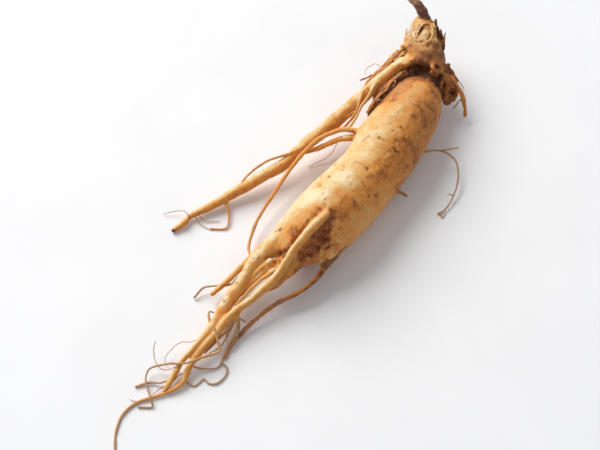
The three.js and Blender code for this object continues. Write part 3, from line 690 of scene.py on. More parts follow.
def relax(vertices, faces, rounds, share):
    """Moves each vertex this share of the way to the middle of its neighbours, over and over."""
    count = np.zeros(len(vertices))
    for k in range(4):
        count += np.bincount(faces[:, k], minlength=len(vertices))
    for _ in range(rounds):
        total = np.zeros_like(vertices)
        for k in range(4):
            here, beside = faces[:, k], faces[:, (k + 1) % 4]
            for axis in range(3):
                total[:, axis] += np.bincount(here, vertices[beside, axis], len(vertices))
                total[:, axis] += np.bincount(beside, vertices[here, axis], len(vertices))
        vertices = vertices + share * (total / (2 * np.maximum(count, 1))[:, None] - vertices)
    return vertices


# ---------------- marks on the skin
FLECKS = [                            # x, y, z, radius, depth, brown
    # the body
    (-22, 0.6, 23.6, 0.9, 0.1, 0.6), (-23.9, 3.9, 23.6, 0.6, 0.1, 0.7), (-10.3, 8.7, 21.4, 0.9, 0.4, 1.0),
    (-3.4, 10.4, 18.1, 0.9, 0.25, 0.8), (-5.6, 5.8, 22.4, 0.7, 0.1, 0.45),
    (-15.3, 9.3, 21.8, 0.8, 0.15, 0.6), (-14.4, 9.9, 20.9, 0.5, 0.1, 0.5),
    (-10.2, 11.7, 18.9, 0.8, 0.2, 0.6), (-18, 5.9, 23.7, 0.6, 0.1, 0.3), (-8.1, 2.2, 23.9, 0.7, 0.1, 0.3),
    (-0.7, -1.2, 22.4, 1.1, 0.3, 1.0), (-2.6, -4.5, 22.2, 0.5, 0.1, 0.5), (-2.8, -6.8, 20.9, 0.7, 0.1, 0.5),
    (-8.7, -7.1, 20.7, 0.7, 0.2, 0.8), (-6.6, -8.4, 18.8, 0.9, 0.3, 1.0), (15.3, 4.9, 22.6, 0.6, 0.1, 0.4),
    (12.2, 1.7, 23, 0.7, 0.15, 0.7), (19.5, 1.2, 23.7, 0.5, 0.1, 0.6), (17, -1.2, 23.9, 0.7, 0.15, 0.7),
    (20.1, -2.7, 23.6, 0.9, 0.2, 0.9), (19.5, -3.9, 23.3, 0.6, 0.1, 0.7), (14.7, -3.9, 23.2, 0.9, 0.2, 0.6),
    (17, -6.3, 22.1, 0.9, 0.2, 0.8), (24.8, 1.4, 23.7, 0.7, 0.1, 0.4), (22.9, 1.1, 23.8, 0.5, 0.1, 0.4),
    (26.9, -5, 22.4, 1.0, 0.15, 0.5), (-21.5, 3.3, 23.9, 0.9, 0.15, 0.5), (-19.6, 4.4, 24, 0.6, 0.1, 0.4),
    (36.4, 2.6, 22.2, 0.6, 0.1, 0.4), (3, 7, 22, 0.4, 0.1, 0.4), (9, -9, 19, 0.7, 0.15, 0.5),
    (30, 5, 22.4, 0.5, 0.1, 0.4), (-13, -7, 20.6, 0.6, 0.1, 0.5), (-4, -3, -0.2, 2, 0.3, 0.6),
    (14, 8, 2.4, 1.6, 0.4, 0.7), (-20, 13, 8, 1.2, 0.3, 0.7), (6, 11, 12, 1, 0.3, 0.6),
    (24, -10.6, 6.4, 1.2, 0.3, 0.7), (32, 8, 5, 1.3, 0.4, 0.8), (-12, -9.6, 6.6, 1.1, 0.3, 0.7),
    # the legs and the fork
    (-28.3, -7.9, 15, 0.6, 0.2, 0.9), (-31, -7.2, 13.6, 0.5, 0.2, 0.9), (-34, -5.9, 12.4, 0.6, 0.2, 0.8),
    (-26.6, -8.6, 14.4, 0.5, 0.2, 0.8), (-35.2, 13.4, 16.4, 0.9, 0.35, 1.0),
    (-60.9, 10.7, 9.6, 0.5, 0.2, 0.9), (-44.7, 8.4, 12, 0.7, 0.3, 0.9), (-37.8, 5.2, 18, 0.6, 0.2, 0.8),
    (-44.9, 8.8, 12, 1, 0.5, 1.0), (-58, 16.5, 9.2, 0.9, 0.15, 0.7), (-66, 16.5, 8, 0.8, 0.15, 0.7),
    (-53, 17, 10.4, 0.6, 0.15, 0.6), (-70, 15.5, 7.4, 0.7, 0.1, 0.6), (-47, 14.6, 12, 0.6, 0.1, 0.5),
    (-60, 9.6, 10.2, 0.6, 0.1, 0.6), (-36, 14, 15.4, 0.8, 0.1, 0.5), (-24.2, -9.1, 14.2, 0.8, 0.4, 0.9),
    # the crown
    (57.3, 6.2, 23.4, 1.9, 0.3, 0.8), (55.8, 6.8, 23.8, 0.8, 0.3, 0.9), (50.9, 0, 20.6, 1.2, 0.1, 0.9),
    (54.9, 6.7, 23.8, 0.7, 0.2, 0.9), (37.7, 3.1, 21.8, 0.7, 0.15, 0.5),
]
CREASES = [                           # points of a fine line, half width, depth (below 0: raised), brown
    # the body
    ([(-0.5, 3.9, 22.4), (-0.1, 1.3, 22.9), (-0.7, -1.2, 22.4)], 0.35, 0.15, 0.55),
    ([(-6.1, -2.4, 23.2), (-6.6, -3.6, 22.9), (-6.9, -4.7, 22.3)], 0.3, 0.15, 0.7),
    ([(-4.4, 3, 23.6), (-4.6, 0.6, 23.6), (-5.8, -1.6, 23.4)], 0.3, 0.1, 0.3),
    ([(12.2, 1.7, 23), (12, 0.2, 23.2), (12.1, -0.8, 23.4)], 0.35, 0.15, 0.6),
    ([(11.4, 5.4, 22), (10.2, 6.4, 21.2), (9.2, 6.6, 20.8)], 0.55, 0.1, 0.5),
    ([(15.6, -6.3, 22.2), (17.4, -6.5, 22.1), (19.4, -6.3, 22.1)], 0.25, -0.15, 0.0),
    ([(15.4, -6.1, 22.2), (14.4, -4.6, 23)], 0.35, 0.2, 0.8),
    ([(11.9, -4.8, 22.4), (11.5, -5.6, 21.9), (11.6, -6.6, 21.3)], 0.5, 0.2, 0.8),
    ([(16.7, -10.2, 18.4), (16.5, -11.3, 16.6)], 0.5, 0.2, 0.7),
    ([(22, -9, 19.6), (20.6, -10, 18.6), (18.9, -11.1, 16.5)], 0.5, 0.15, 0.55),
    ([(32.1, -7.7, 19.7), (30.4, -9.4, 17.4), (28.4, -11.3, 13.7)], 0.7, 0.2, 0.7),
    ([(30.8, 0.4, 23.3), (31.4, -1.2, 23), (31.9, -2.9, 22.6)], 0.3, -0.2, 0.0),
    ([(31.7, -3.6, 22.4), (31.2, -4.4, 22.1), (30.8, -5.4, 21.7)], 0.55, 0.25, 0.8),
    ([(-16, 1, 24.4), (-17, -2, 24), (-18.6, -5, 22.4)], 0.3, 0.1, 0.3),
    ([(3, 2, 23), (3.4, -2, 22.8), (2.6, -6, 21.2)], 0.3, 0.12, 0.2),
    ([(24, 6, 21.8), (25, 1, 23.6), (24.4, -4, 22.8)], 0.3, 0.12, 0.15),
    ([(8, 11.4, 11), (9, 10, 5), (9, 5, 1)], 0.4, 0.25, 0.4),
    ([(-14, -9, 9), (-13, -6, 3), (-14, 0, 0)], 0.4, 0.25, 0.4),
    ([(26, -11, 8), (27, -8, 3), (26, -3, 0.4)], 0.4, 0.25, 0.4),
    # the legs and the fork
    ([(-40.7, 7.1, 15.4), (-41.7, 8.2, 14.4), (-42.3, 9.7, 12), (-43.4, 10.7, 11.3),
      (-44.6, 11.6, 10.8)], 0.75, 0.2, 1.0),
    ([(-25, 10, 19.6), (-26.4, 6.6, 22)], 0.4, 0.15, 0.3),
    # the crown
    ([(57.4, 15, 21.6), (56.2, 14.6, 21.8), (55.6, 13.4, 22.4)], 0.4, 0.3, 0.8),
    ([(54.6, 11.2, 23.4), (55.2, 10.2, 23.8), (55.4, 9.4, 24)], 0.35, 0.25, 0.9),
    ([(60.4, 8.6, 23.7), (58.8, 8, 23.9), (57.4, 8.4, 23.9)], 0.35, 0.25, 0.8),
    ([(46, 0.8, 18.6), (45.2, 3.3, 18.2), (43.6, 4.7, 18.7), (41.9, 6.3, 18.9), (40, 7.8, 18.7),
      (38.4, 9.2, 17.7), (36.4, 9.8, 17.6), (34.2, 10.1, 17.4), (31.6, 10.3, 17.2),
      (29, 10.4, 17)], 1.2, 0.0, 0.95),
    ([(61.5, 14.4, 23.4), (59.4, 14.2, 23.4), (57.9, 13.8, 23.2), (56.5, 13.1, 23.4)], 0.32, 0.25, 0.85),
    ([(61.8, 9.6, 24), (61.2, 9.2, 24), (60.2, 8.6, 24), (59.2, 8.2, 23.9)], 0.32, 0.25, 0.75),
    ([(56.9, 15.7, 21), (56.2, 15.2, 21.4)], 0.5, 0.25, 0.6),
    ([(55.3, 14.3, 21.9), (54.9, 13.6, 22.3)], 0.5, 0.2, 0.5),
    ([(54.7, 12.2, 23.1), (54.4, 11.6, 23.3)], 0.4, 0.2, 0.35),
    ([(54.8, 9.8, 24), (55.8, 9.6, 24.1), (55.9, 9, 24.1)], 0.45, 0.25, 0.55),
    ([(53.6, 16.2, 19.6), (52.4, 15.4, 19.4), (51.4, 14.8, 19.2), (50.6, 14, 18.9)], 0.4, 0.3, 1.0),
    ([(52.6, 17, 18.6), (51.2, 16, 18.4), (50.4, 15, 18.2)], 0.35, 0.25, 0.9),
    ([(51, 13.8, 19.3), (50.4, 14.4, 18.6)], 0.45, 0.2, 0.9),
    # the arm
    ([(-43.8, 46.9, 2.3), (-43.3, 48, 2.9), (-42.7, 49.2, 2.2)], 0.35, 0.25, 0.9),
    ([(-40.6, 45.2, 2.6), (-40, 46.4, 3.4), (-39.4, 47.6, 2.8)], 0.25, 0.15, 0.5),
]
PATCHES = [                           # x, y, z, radius, how much browner (below 0: paler) the skin is there; a few are painted shade
    # the body
    (-15.8, -2.4, 23.6, 5, 0.34), (-21.3, -1.6, 23.2, 3.4, 0.4), (-7.8, -3.4, 23, 4.4, 0.22),
    (3.5, -7.6, 20.1, 4.5, 0.2), (24, -8, 20.6, 6.5, 0.2), (32.6, -6.6, 20.6, 3, 0.25),
    (28.4, -12, 12.6, 4, -0.25), (15, 4.9, 22.6, 6, -0.12), (-20, 8, 22, 4.5, -0.2),
    (-12.4, -9.6, 15.4, 4, -0.12), (-1, -11, 14, 4.5, -0.15), (11, -10.6, 16, 4, -0.1), (36, 3, 22, 5, 0.1),
    (4, 4, 23, 4, -0.1), (-23.7, 3.9, 23.6, 1.8, 0.4), (6, -8.6, 19, 5, 0.16), (14, -9.6, 17.6, 5, 0.14),
    (15.6, 9.6, 15, 2.6, 0.45), (13.6, 9.6, 13, 2.4, 0.45), (36.6, 5.4, 20.5, 3.6, 0.3),
    (33, 7.4, 20, 3, 0.2), (-9.2, 7.7, 23, 5, 0.08), (-15, 10.4, 21.8, 4, 0.1), (35, 7.6, 20, 3.6, 0.25),
    (31, 9.4, 18.4, 3, 0.45), (27.6, 10.4, 17.3, 2.4, 0.2), (-15.5, 10, 21.6, 3, 0.35),
    (1.4, 0.5, 22.7, 3.4, 0.25), (-2.8, -2.1, 23, 3, 0.2), (28, 7.4, 21, 4, 0.2),
    # browner feet of the bow and under_bow, with painted shade where they leave the body: (14, 13.6, 15.4),
    # (12, 12.8, 13)
    (14, 13.6, 15.4, 1.8, 0.6), (12, 12.8, 13, 1.6, 0.5), (24.1, 20.4, 15.1, 2.2, 0.3),
    (31, 6.2, 21.6, 4, 0.14), (-23.8, 6, 23.3, 2.4, 0.25),
    # the legs and the fork
    (-34, 8.4, 19, 3.2, 0.4), (-24.6, 5.4, 23.6, 2.6, 0.4), (-30, 8.4, 21.6, 2.4, 0.3),
    (-24, -8, 18, 4, -0.05), (-26.8, 5, 23.2, 1.6, 0.4), (-38, 11, 14, 2.6, 0.35),
    (-42, 9.6, 12.6, 2.4, 0.5), (-45, 8, 12, 2, 0.4), (-30, 14, 17, 4, -0.2), (-33.6, 7.6, 19, 2.2, 0.25),
    (-45.8, 10.6, 12, 1.4, -0.4), (-31.9, -6.9, 13.5, 1.8, -0.2), (-28.3, -7.9, 15, 1.6, 0.25),
    (-47.5, 15.5, 11, 4, -0.15), (-41.1, 3.5, 14.6, 2, -0.2), (-43.8, 3.4, 16.4, 2, -0.2),
    (-45.8, 3.8, 12.9, 2, -0.2), (-50, 14, 10.6, 2.4, 0.1), (-58, 14.4, 9, 2.6, 0.1), (-64, 17, 8, 2, 0.1),
    (-70, 14.4, 7.4, 2.4, 0.2), (-26.5, 7.6, 22.6, 2.6, 0.4), (-42, 8, 14, 1.8, 0.35),
    (-42.3, 9, 13, 2, 0.25), (-70.8, 15.6, 7.5, 2.4, 0.22), (-51.8, 18.2, 9.4, 2.2, -0.2),
    (-64.9, 15.7, 8.4, 1.8, -0.15), (-69.6, 15.5, 7.9, 2, 0.3), (-92.4, 14, 3.8, 2.6, 0.45),
    (-86.6, 13.4, 5, 2, 0.3), (-82.6, 12.8, 6, 1.8, 0.3), (-102, 17.1, 2.1, 3, 0.2),
    (-49.8, 5, 12, 2, -0.15), (-48, 11.4, 9.6, 1.6, 0.3), (-52, 11.8, 8.6, 1.8, -0.1),
    # the crown
    (38, -9, 16, 5, -0.15), (60, 13.6, 23.2, 3.6, -0.15), (57.5, 15.6, 20.6, 3, -0.2),
    (57.4, 5.6, 23.4, 2, 0.3), (54, 8.4, 23, 3.6, 0.3), (60, 10.5, 23.4, 3.6, -0.3),
    (56.6, 14.6, 21.8, 2.4, -0.25), (41, 4, 20.4, 3.4, 0.2), (50.6, 5.4, 22.6, 2.6, 0.3),
    (52.8, 2.2, 22.4, 1.6, -0.2), (54.4, 13, 22, 3, 0.2), (52.6, 12.6, 21.4, 2.6, 0.22),
    (61, 9, 23.6, 2, 0.2), (42, 5, 19, 3, 0.2), (55, 4.8, 23.2, 3, 0.1), (49.4, 8.4, 21.8, 2.2, 0.4),
    (50, 5.4, 22.6, 2.6, 0.55), (51.2, 2.6, 22.4, 2.6, 0.5), (52, 0, 20, 3, 0.35), (51.8, 15.4, 19, 2, 0.4),
    # painted shade along the body's top edge under the crown: (43, 6, 18.4), (44, 2, 18.8), (42, 8.8, 17.6),
    # (43.6, -1, 18.4)
    (64, 13.4, 22.6, 1.4, 0.3), (39.4, 9.8, 17, 2.6, 0.5), (43, 6, 18.4, 2.2, 0.6), (44, 2, 18.8, 2.2, 0.6),
    (42, 8.8, 17.6, 2.2, 0.6), (43.6, -1, 18.4, 2, 0.5), (38, 7.5, 19.6, 2.8, 0.45),
    (49.6, 1.4, 22.3, 1, -0.3), (48.7, 0.9, 21.9, 1, -0.5), (48.5, -0.2, 21.2, 1, -0.5),
    (49.3, -1.3, 20.6, 0.9, -0.4), (38.9, 9.8, 16.4, 2.6, 0.3), (50, 2, 19.2, 2.4, 0.4),
    (52, 9.4, 23, 3, 0.1), (55.6, 8.1, 24, 1.8, 0.2),
]
FADED = [                             # x, y, z, radius, share of the greyer brown
    (37, 8, 18, 6, 0.28), (30, 1, 22, 6, 0.12),
]
DARK = [                              # soil and rotten skin, and in the crown's crevices soil with painted shade: centre, half lengths, strength
    ((-25.2, -1.4, 21), (4.6, 3, 3.4), 0.7),
    ((-30.4, -1.2, 17.4), (5.4, 4.6, 5), 0.85),
    ((-35.4, -0.2, 14.4), (5, 3.8, 4.8), 0.9),
    ((-38.8, 1.6, 13), (2.8, 2.2, 3.4), 0.9),
    ((-29.7, 5.4, 22.4), (1.9, 0.7, 1.2), 0.8),
    # the crown's crevices, the curl's hollow and the hollow under it: soil with painted shade; the fork's
    # groove and the arm's tip close the list
    ((46.8, 4.8, 18.8), (4, 5.8, 3.6), 1.0),
    ((44, 8.8, 17.8), (2.6, 2.4, 2.4), 0.95),
    ((40.4, 8.6, 17.4), (2.6, 1.6, 1.6), 0.7),
    ((48.4, 9, 16.4), (3.4, 1.4, 1.6), 0.85),
    ((46.8, -1.6, 17.6), (2.4, 3.4, 3), 0.9),
    ((45.4, -5, 14.6), (1.6, 1.6, 3), 0.75),
    ((49.6, -2.4, 17), (2, 1.6, 2.8), 0.95),
    ((44, 11, 17), (5, 1.4, 2), 0.6),
    ((50.5, -7.7, 10.6), (0.9, 1.1, 2.2), 0.9),
    ((50.4, 0.1, 20.5), (1.1, 0.8, 0.9), 0.85),
    ((60.2, 12.3, 23.6), (2.4, 0.55, 1.2), 1.0),
    ((-42.6, 9.6, 12.2), (3, 0.9, 1), 0.55),
    ((-51.2, 50, 1), (1.5, 1.5, 1.5), 0.75),
]

# ---------------- how each skin is shaped and coloured
GNARLED = ("knob", "curl", "rim", "strap_left", "strap_right", "tongue", "lobe")
CROWN = ("neck", "shoulder", "dome_lip", "frill", "bud_rim", "right_wrap") + GNARLED
BODY_LIMBS = ("body", "left_shoulder", "rump")
RUGGED_LIMBS = ("knob", "rim", "strap_left", "strap_right")
WEBS = ("armpit", "arm_web")
# the lamp's direction; the skins' painted shade is browner the more they turn away from it
TOWARDS_LIGHT = np.array([0.256, 0.728, 0.636])
GRAIN = np.array([[0.9, 0.1, -0.4], [0, 0.45, -0.2], [0.4, 0.3, 0.9]])   # makes the crown's noise fibrous
FLATTENED = np.diag([0.45, 1, 1])     # draws the webs' noise out along x

# layers of noise that lift the skin: height, size of the lumps, octaves, seed
BODY_LUMPS = ((0.42, 13, 2, 3), (0.22, 5, 2, 5), (0.06, 1.6, 2, 35))
CROWN_LUMPS = ((0.34, 3.4, 3, 11),)
CROWN_FIBRES = ((0.2, 1.3, 2, 12),)
RUGGED_FIBRES = ((0.5, 1.7, 3, 15),)
LIMB_LUMPS = ((0.13, 4.5, 2, 51), (0.03, 1.5, 2, 53))
SOIL_LUMPS = ((0.3, 1.8, 3, 71),)
WEB_LUMPS = ((1.3, 1.5, 3, 73),)
DARK_EDGE = ((0.30, 2.2, 4, 81),)     # of the dark places' outlines
TONE_BLOTCHES = ((0.24, 8, 3, 91), (0.14, 3, 2, 92))

TONE_OF_LIMB = {                      # added to the tone; 0 where a limb isn't named
    **dict.fromkeys(CROWN, 0.4), **dict.fromkeys(GNARLED, 0.72), "leg_middle": -0.06, "arm": -0.08,
    "leg_right": 0.5, "finger": 0.1, "armpit": 0.55, "arm_web": 0.2, "web": -0.3,
}
BROWNEST_OF_LIMB = {                  # the tone goes no higher
    **dict.fromkeys(BODY_LIMBS, 0.84), **dict.fromkeys(CROWN, 0.93), **dict.fromkeys(GNARLED, 0.92),
    **dict.fromkeys(WEBS, 1.0), "arm": 0.72, "leg_right": 0.94,
}
BROWNEST_USUALLY = 0.64


def by_limb(names, table, usual=0.0):
    """What a table says about each vertex's limb."""
    kinds, kind = np.unique(names, return_inverse=True)
    return np.array([table.get(name, usual) for name in kinds])[kind]


def dark_share(vertices):
    """How dark each vertex is painted, 0 to 1: soil and rotten skin, with painted shade in the crown's
    crevices.
    """
    total = np.zeros(len(vertices))
    ragged = relief(vertices, DARK_EDGE)
    for centre, half, strength in DARK:
        total = np.maximum(total, strength * within(vertices, centre, half, 0.62, 1.05, ragged))
    return total


def line_distance(p, points):
    """Distance from each point p to a line through these points."""
    best = np.full(len(p), NOWHERE)
    points = np.array(points, float)
    for a, b in zip(points[:-1], points[1:]):
        t = np.clip((p - a) @ (b - a) / ((b - a) @ (b - a)), 0, 1)
        best = np.minimum(best, np.linalg.norm(p - a - t[:, None] * (b - a), axis=1))
    return best


def banded(marks, pitch, turns, seed, shift=0.0):
    """Noise in bands round the limbs: pitch is their width, turns how fast they change on the way round."""
    around = np.cos(marks.bearing) * turns + shift, np.sin(marks.bearing) * turns
    return noise(np.stack([marks.along / pitch, *around], 1), seed)


def skin_shape(vertices, normals, names, marks):
    """Moves the vertices along their normals for lumps, creases, rings and pits."""
    crown, body = np.isin(names, CROWN), np.isin(names, BODY_LIMBS)
    limb = ~(crown | body)
    fibres = vertices @ GRAIN
    calm = 1 - 0.75 * within(vertices, [54, 8.4, 21], [5.5, 7, 6], inner=0.7, outer=1.3)
    rings = banded(marks, pitch=0.75, turns=0.9, seed=21, shift=9 * marks.owner)
    rings *= smoothstep(-0.3, 0.5, fractal(vertices, size=5, octaves=2, seed=23))
    crease = bell(banded(marks, pitch=1.7, turns=1.9, seed=31) / 0.10)
    crease *= smoothstep(-0.2, 0.3, fractal(vertices, size=9, octaves=2, seed=33))
    girdle = banded(marks, pitch=4.5, turns=0.7, seed=41)

    move = body * (relief(vertices, BODY_LUMPS) - 0.14 * crease + 0.10 * girdle)
    move += crown * calm * (relief(vertices, CROWN_LUMPS) + relief(fibres, CROWN_FIBRES))
    ring_height = 0.012 + 0.03 * smoothstep(4.5, 1.8, marks.radius)
    grain = ring_height * rings * marks.lead + 0.03 * girdle + relief(vertices, LIMB_LUMPS)
    move += limb * np.minimum(marks.radius, 3.2) * grain
    for *place, size, depth, _ in FLECKS:
        move -= depth * bell(fleck(vertices, place, size, ragged=0.4, seed=61), steep=1.2)
    for points, width, depth, _ in CREASES:
        move -= depth * bell(line_distance(vertices, points) / width)
    move += dark_share(vertices) * relief(vertices, SOIL_LUMPS)
    move += np.isin(names, RUGGED_LIMBS) * (relief(fibres, RUGGED_FIBRES) - 0.1)
    move += np.isin(names, WEBS) * relief(vertices @ FLATTENED, WEB_LUMPS)
    move *= smoothstep(0.0, 0.6, vertices[:, 2])
    return vertices + normals * move[:, None]


def skin_tone(vertices, faces, names, marks, tan):
    """How brown the skin is at each vertex, 0 pale cream to 1 brown, with painted shade: browner where it
    turns from the lamp and where it sinks into hollows.
    """
    normals = vertex_normals(vertices, faces)
    # hollow and sunk tell how far each vertex lies below its smoothed neighbours, for the painted shade in
    # hollows
    fine = relax(vertices, faces, rounds=3, share=0.6)
    broad = relax(fine, faces, rounds=14, share=0.6)
    hollow = np.clip(((fine - vertices) * normals).sum(1) / 0.05, -1, 1)
    sunk = np.clip(((broad - vertices) * normals).sum(1) / 0.25, -1, 1)
    # painted shade: the skin is painted browner the more it turns away from the lamp
    shade = smoothstep(0.85, 0.1, normals @ TOWARDS_LIGHT)
    body, crown, arm = np.isin(names, BODY_LIMBS), np.isin(names, CROWN), names == "arm"
    leg = ~(body | crown)
    x = vertices[:, 0]

    tone = 0.12 + 0.58 * shade + relief(vertices, TONE_BLOTCHES) + by_limb(names, TONE_OF_LIMB) - 0.14 * tan
    tone += body * (0.32 * smoothstep(-18, 34, x) + 0.2 * smoothstep(-22, -38, x))
    # thin limbs are browner, and painted shade makes the side of the legs, arm and webs away from the lamp
    # browner still
    tone += leg * (0.12 * smoothstep(2.4, 1.0, marks.radius) + 0.3 * shade + 0.03)
    tone += leg * np.where(arm, 0.30, 0.22) * fractal(vertices, size=2.4, octaves=3, seed=95)
    tone += arm * 0.24 * smoothstep(36, 12, x)
    for *place, size, change in PATCHES:
        tone += change * bell(fleck(vertices, place, size, ragged=0.35, seed=93), steep=1.4)
    # painted shade in the hollows: the skin is browner where it sinks in, and paler on the bulges
    tone += 0.16 * sunk + np.where(crown, 0.10, 0.06) * hollow
    return np.minimum(tone, by_limb(names, BROWNEST_OF_LIMB, BROWNEST_USUALLY))


def skin_stain(vertices):
    """How strong the brown of the flecks and creases is at each vertex."""
    stain = np.zeros(len(vertices))
    for *place, size, _, strength in FLECKS:
        d = fleck(vertices, place, size, ragged=0.6, seed=97)
        stain = np.maximum(stain, strength * smoothstep(1.2, 0.3, d))
    for points, width, _, strength in CREASES:
        d = line_distance(vertices, points) / width
        near = np.flatnonzero(d < 3)
        ragged = d[near] + 0.9 * fractal(vertices[near], size=1.3, octaves=3, seed=98)
        stain[near] = np.maximum(stain[near], 0.8 * strength * smoothstep(1.7, 0.2, ragged))
    return stain


def skin_colours(vertices, faces, names, marks):
    """What the shader reads; dull is the share of the greyer brown, tan that of the dry skin by the bud."""
    leg = ~np.isin(names, BODY_LIMBS + CROWN)
    smooth_crown = np.isin(names, CROWN) & ~np.isin(names, GNARLED)
    tan = within(vertices, [58, 8.6, 21], [8, 9, 8], inner=0.7, outer=1.1)
    dull = 0.08 * (names == "leg_right") + 0.04 * smooth_crown
    for *place, size, share in FADED:
        dull += share * bell(np.linalg.norm(vertices - place, axis=1) / size, steep=1.4)
    tone = skin_tone(vertices, faces, names, marks, tan)
    return {"tone": tone, "stain": skin_stain(vertices), "dark": dark_share(vertices), "along": marks.along,
            "ringed": leg * marks.lead, "dull": dull, "tan": tan}


# ---------------- meshes
def make_mesh(name, vertices, faces, attributes, material):
    """A smooth mesh in the scene, from vertices in mm, with one number per vertex for each attribute."""
    mesh = bpy.data.meshes.new(name)
    mesh.from_pydata((np.asarray(vertices) * MM).tolist(), [], [list(map(int, f)) for f in faces])
    for key, values in attributes.items():
        mesh.attributes.new(key, "FLOAT", "POINT").data.foreach_set("value", np.asarray(values, np.float32))
    mesh.polygons.foreach_set("use_smooth", [True] * len(mesh.polygons))
    mesh.validate()
    mesh.update()
    mesh.materials.append(material)
    thing = bpy.data.objects.new(name, mesh)
    bpy.context.scene.collection.objects.link(thing)
    return thing


class Bundle:
    """Several closed meshes gathered into one."""

    def __init__(self, *keys):
        self.vertices, self.faces, self.count = [], [], 0
        self.attributes = {key: [] for key in keys}

    def add(self, vertices, faces, **attributes):
        self.vertices.append(vertices)
        self.faces += [[i + self.count for i in face] for face in faces]
        self.count += len(vertices)
        for key, values in self.attributes.items():
            values.append(np.broadcast_to(attributes[key], len(vertices)))

    def make(self, name, material):
        attributes = {key: np.concatenate(values) for key, values in self.attributes.items()}
        return make_mesh(name, np.vstack(self.vertices), self.faces, attributes, material)


def tube_line(stations, spacing, seed, knots, wander, blunt):
    """The middle line and radii of a tube: it wanders a little, swells in knots and gets blunt at its end."""
    points = course(stations, spacing)
    run = run_length(points)
    line = np.stack([run, np.zeros_like(run), np.zeros_like(run)], 1)
    calm = np.minimum(1, np.minimum(run, run[-1] - run) / 2)
    for axis in range(3):
        points[:, axis] += wander * calm * fractal(line + 31.7 * axis, size=3.2, octaves=2, seed=seed + axis)
    points[:, 3] *= 1 + knots * relief(line, ((1, 1.1, 2, seed + 5), (0.8, 4, 1, seed + 6)))
    points[:, 2] = np.maximum(points[:, 2], points[:, 3] * 0.9)
    left = (run[-1] - run) / np.maximum(points[-1, 3] * 1.2, 0.05)
    points[:, 3] *= np.sqrt(np.clip(1 - (1 - blunt) * (1 - np.clip(left, 0, 1)) ** 2, 0.05, 1))
    return points, run


def tube(stations, spacing, sides, seed, knots, wander, blunt=0.6):
    """A closed tube along the stations: vertices, faces, length along it and share of the way along it."""
    points, run = tube_line(stations, spacing, seed, knots, wander, blunt)
    tangent = np.gradient(points[:, :3], axis=0)
    tangent /= np.linalg.norm(tangent, axis=1)[:, None]
    side = np.cross(tangent[0], [0, 0, 1.0])
    side = side / np.linalg.norm(side) if np.linalg.norm(side) > 1e-3 else np.array([1.0, 0, 0])
    angle = np.linspace(0, 2 * math.pi, sides, endpoint=False)
    rings = []
    for point, ahead in zip(points, tangent):
        side = side - ahead * (side @ ahead)
        side /= np.linalg.norm(side)
        up = np.cross(ahead, side)
        rings.append(point[:3] + point[3] * (np.cos(angle)[:, None] * side + np.sin(angle)[:, None] * up))
    tip = points[-1:, :3] + tangent[-1:] * points[-1, 3] * 0.35
    vertices = np.vstack([*rings, points[:1, :3], tip])

    last = (len(points) - 1) * sides
    start, end = last + sides, last + sides + 1
    beside = [(k, (k + 1) % sides) for k in range(sides)]
    faces = [[ring + a, ring + b, ring + b + sides, ring + a + sides]
             for ring in range(0, last, sides) for a, b in beside]
    for a, b in beside:
        faces.append([start, b, a])
        faces.append([end, last + a, last + b])
    along = np.concatenate([np.repeat(run, sides), [0, run[-1]]])
    return vertices, faces, along, along / run[-1]


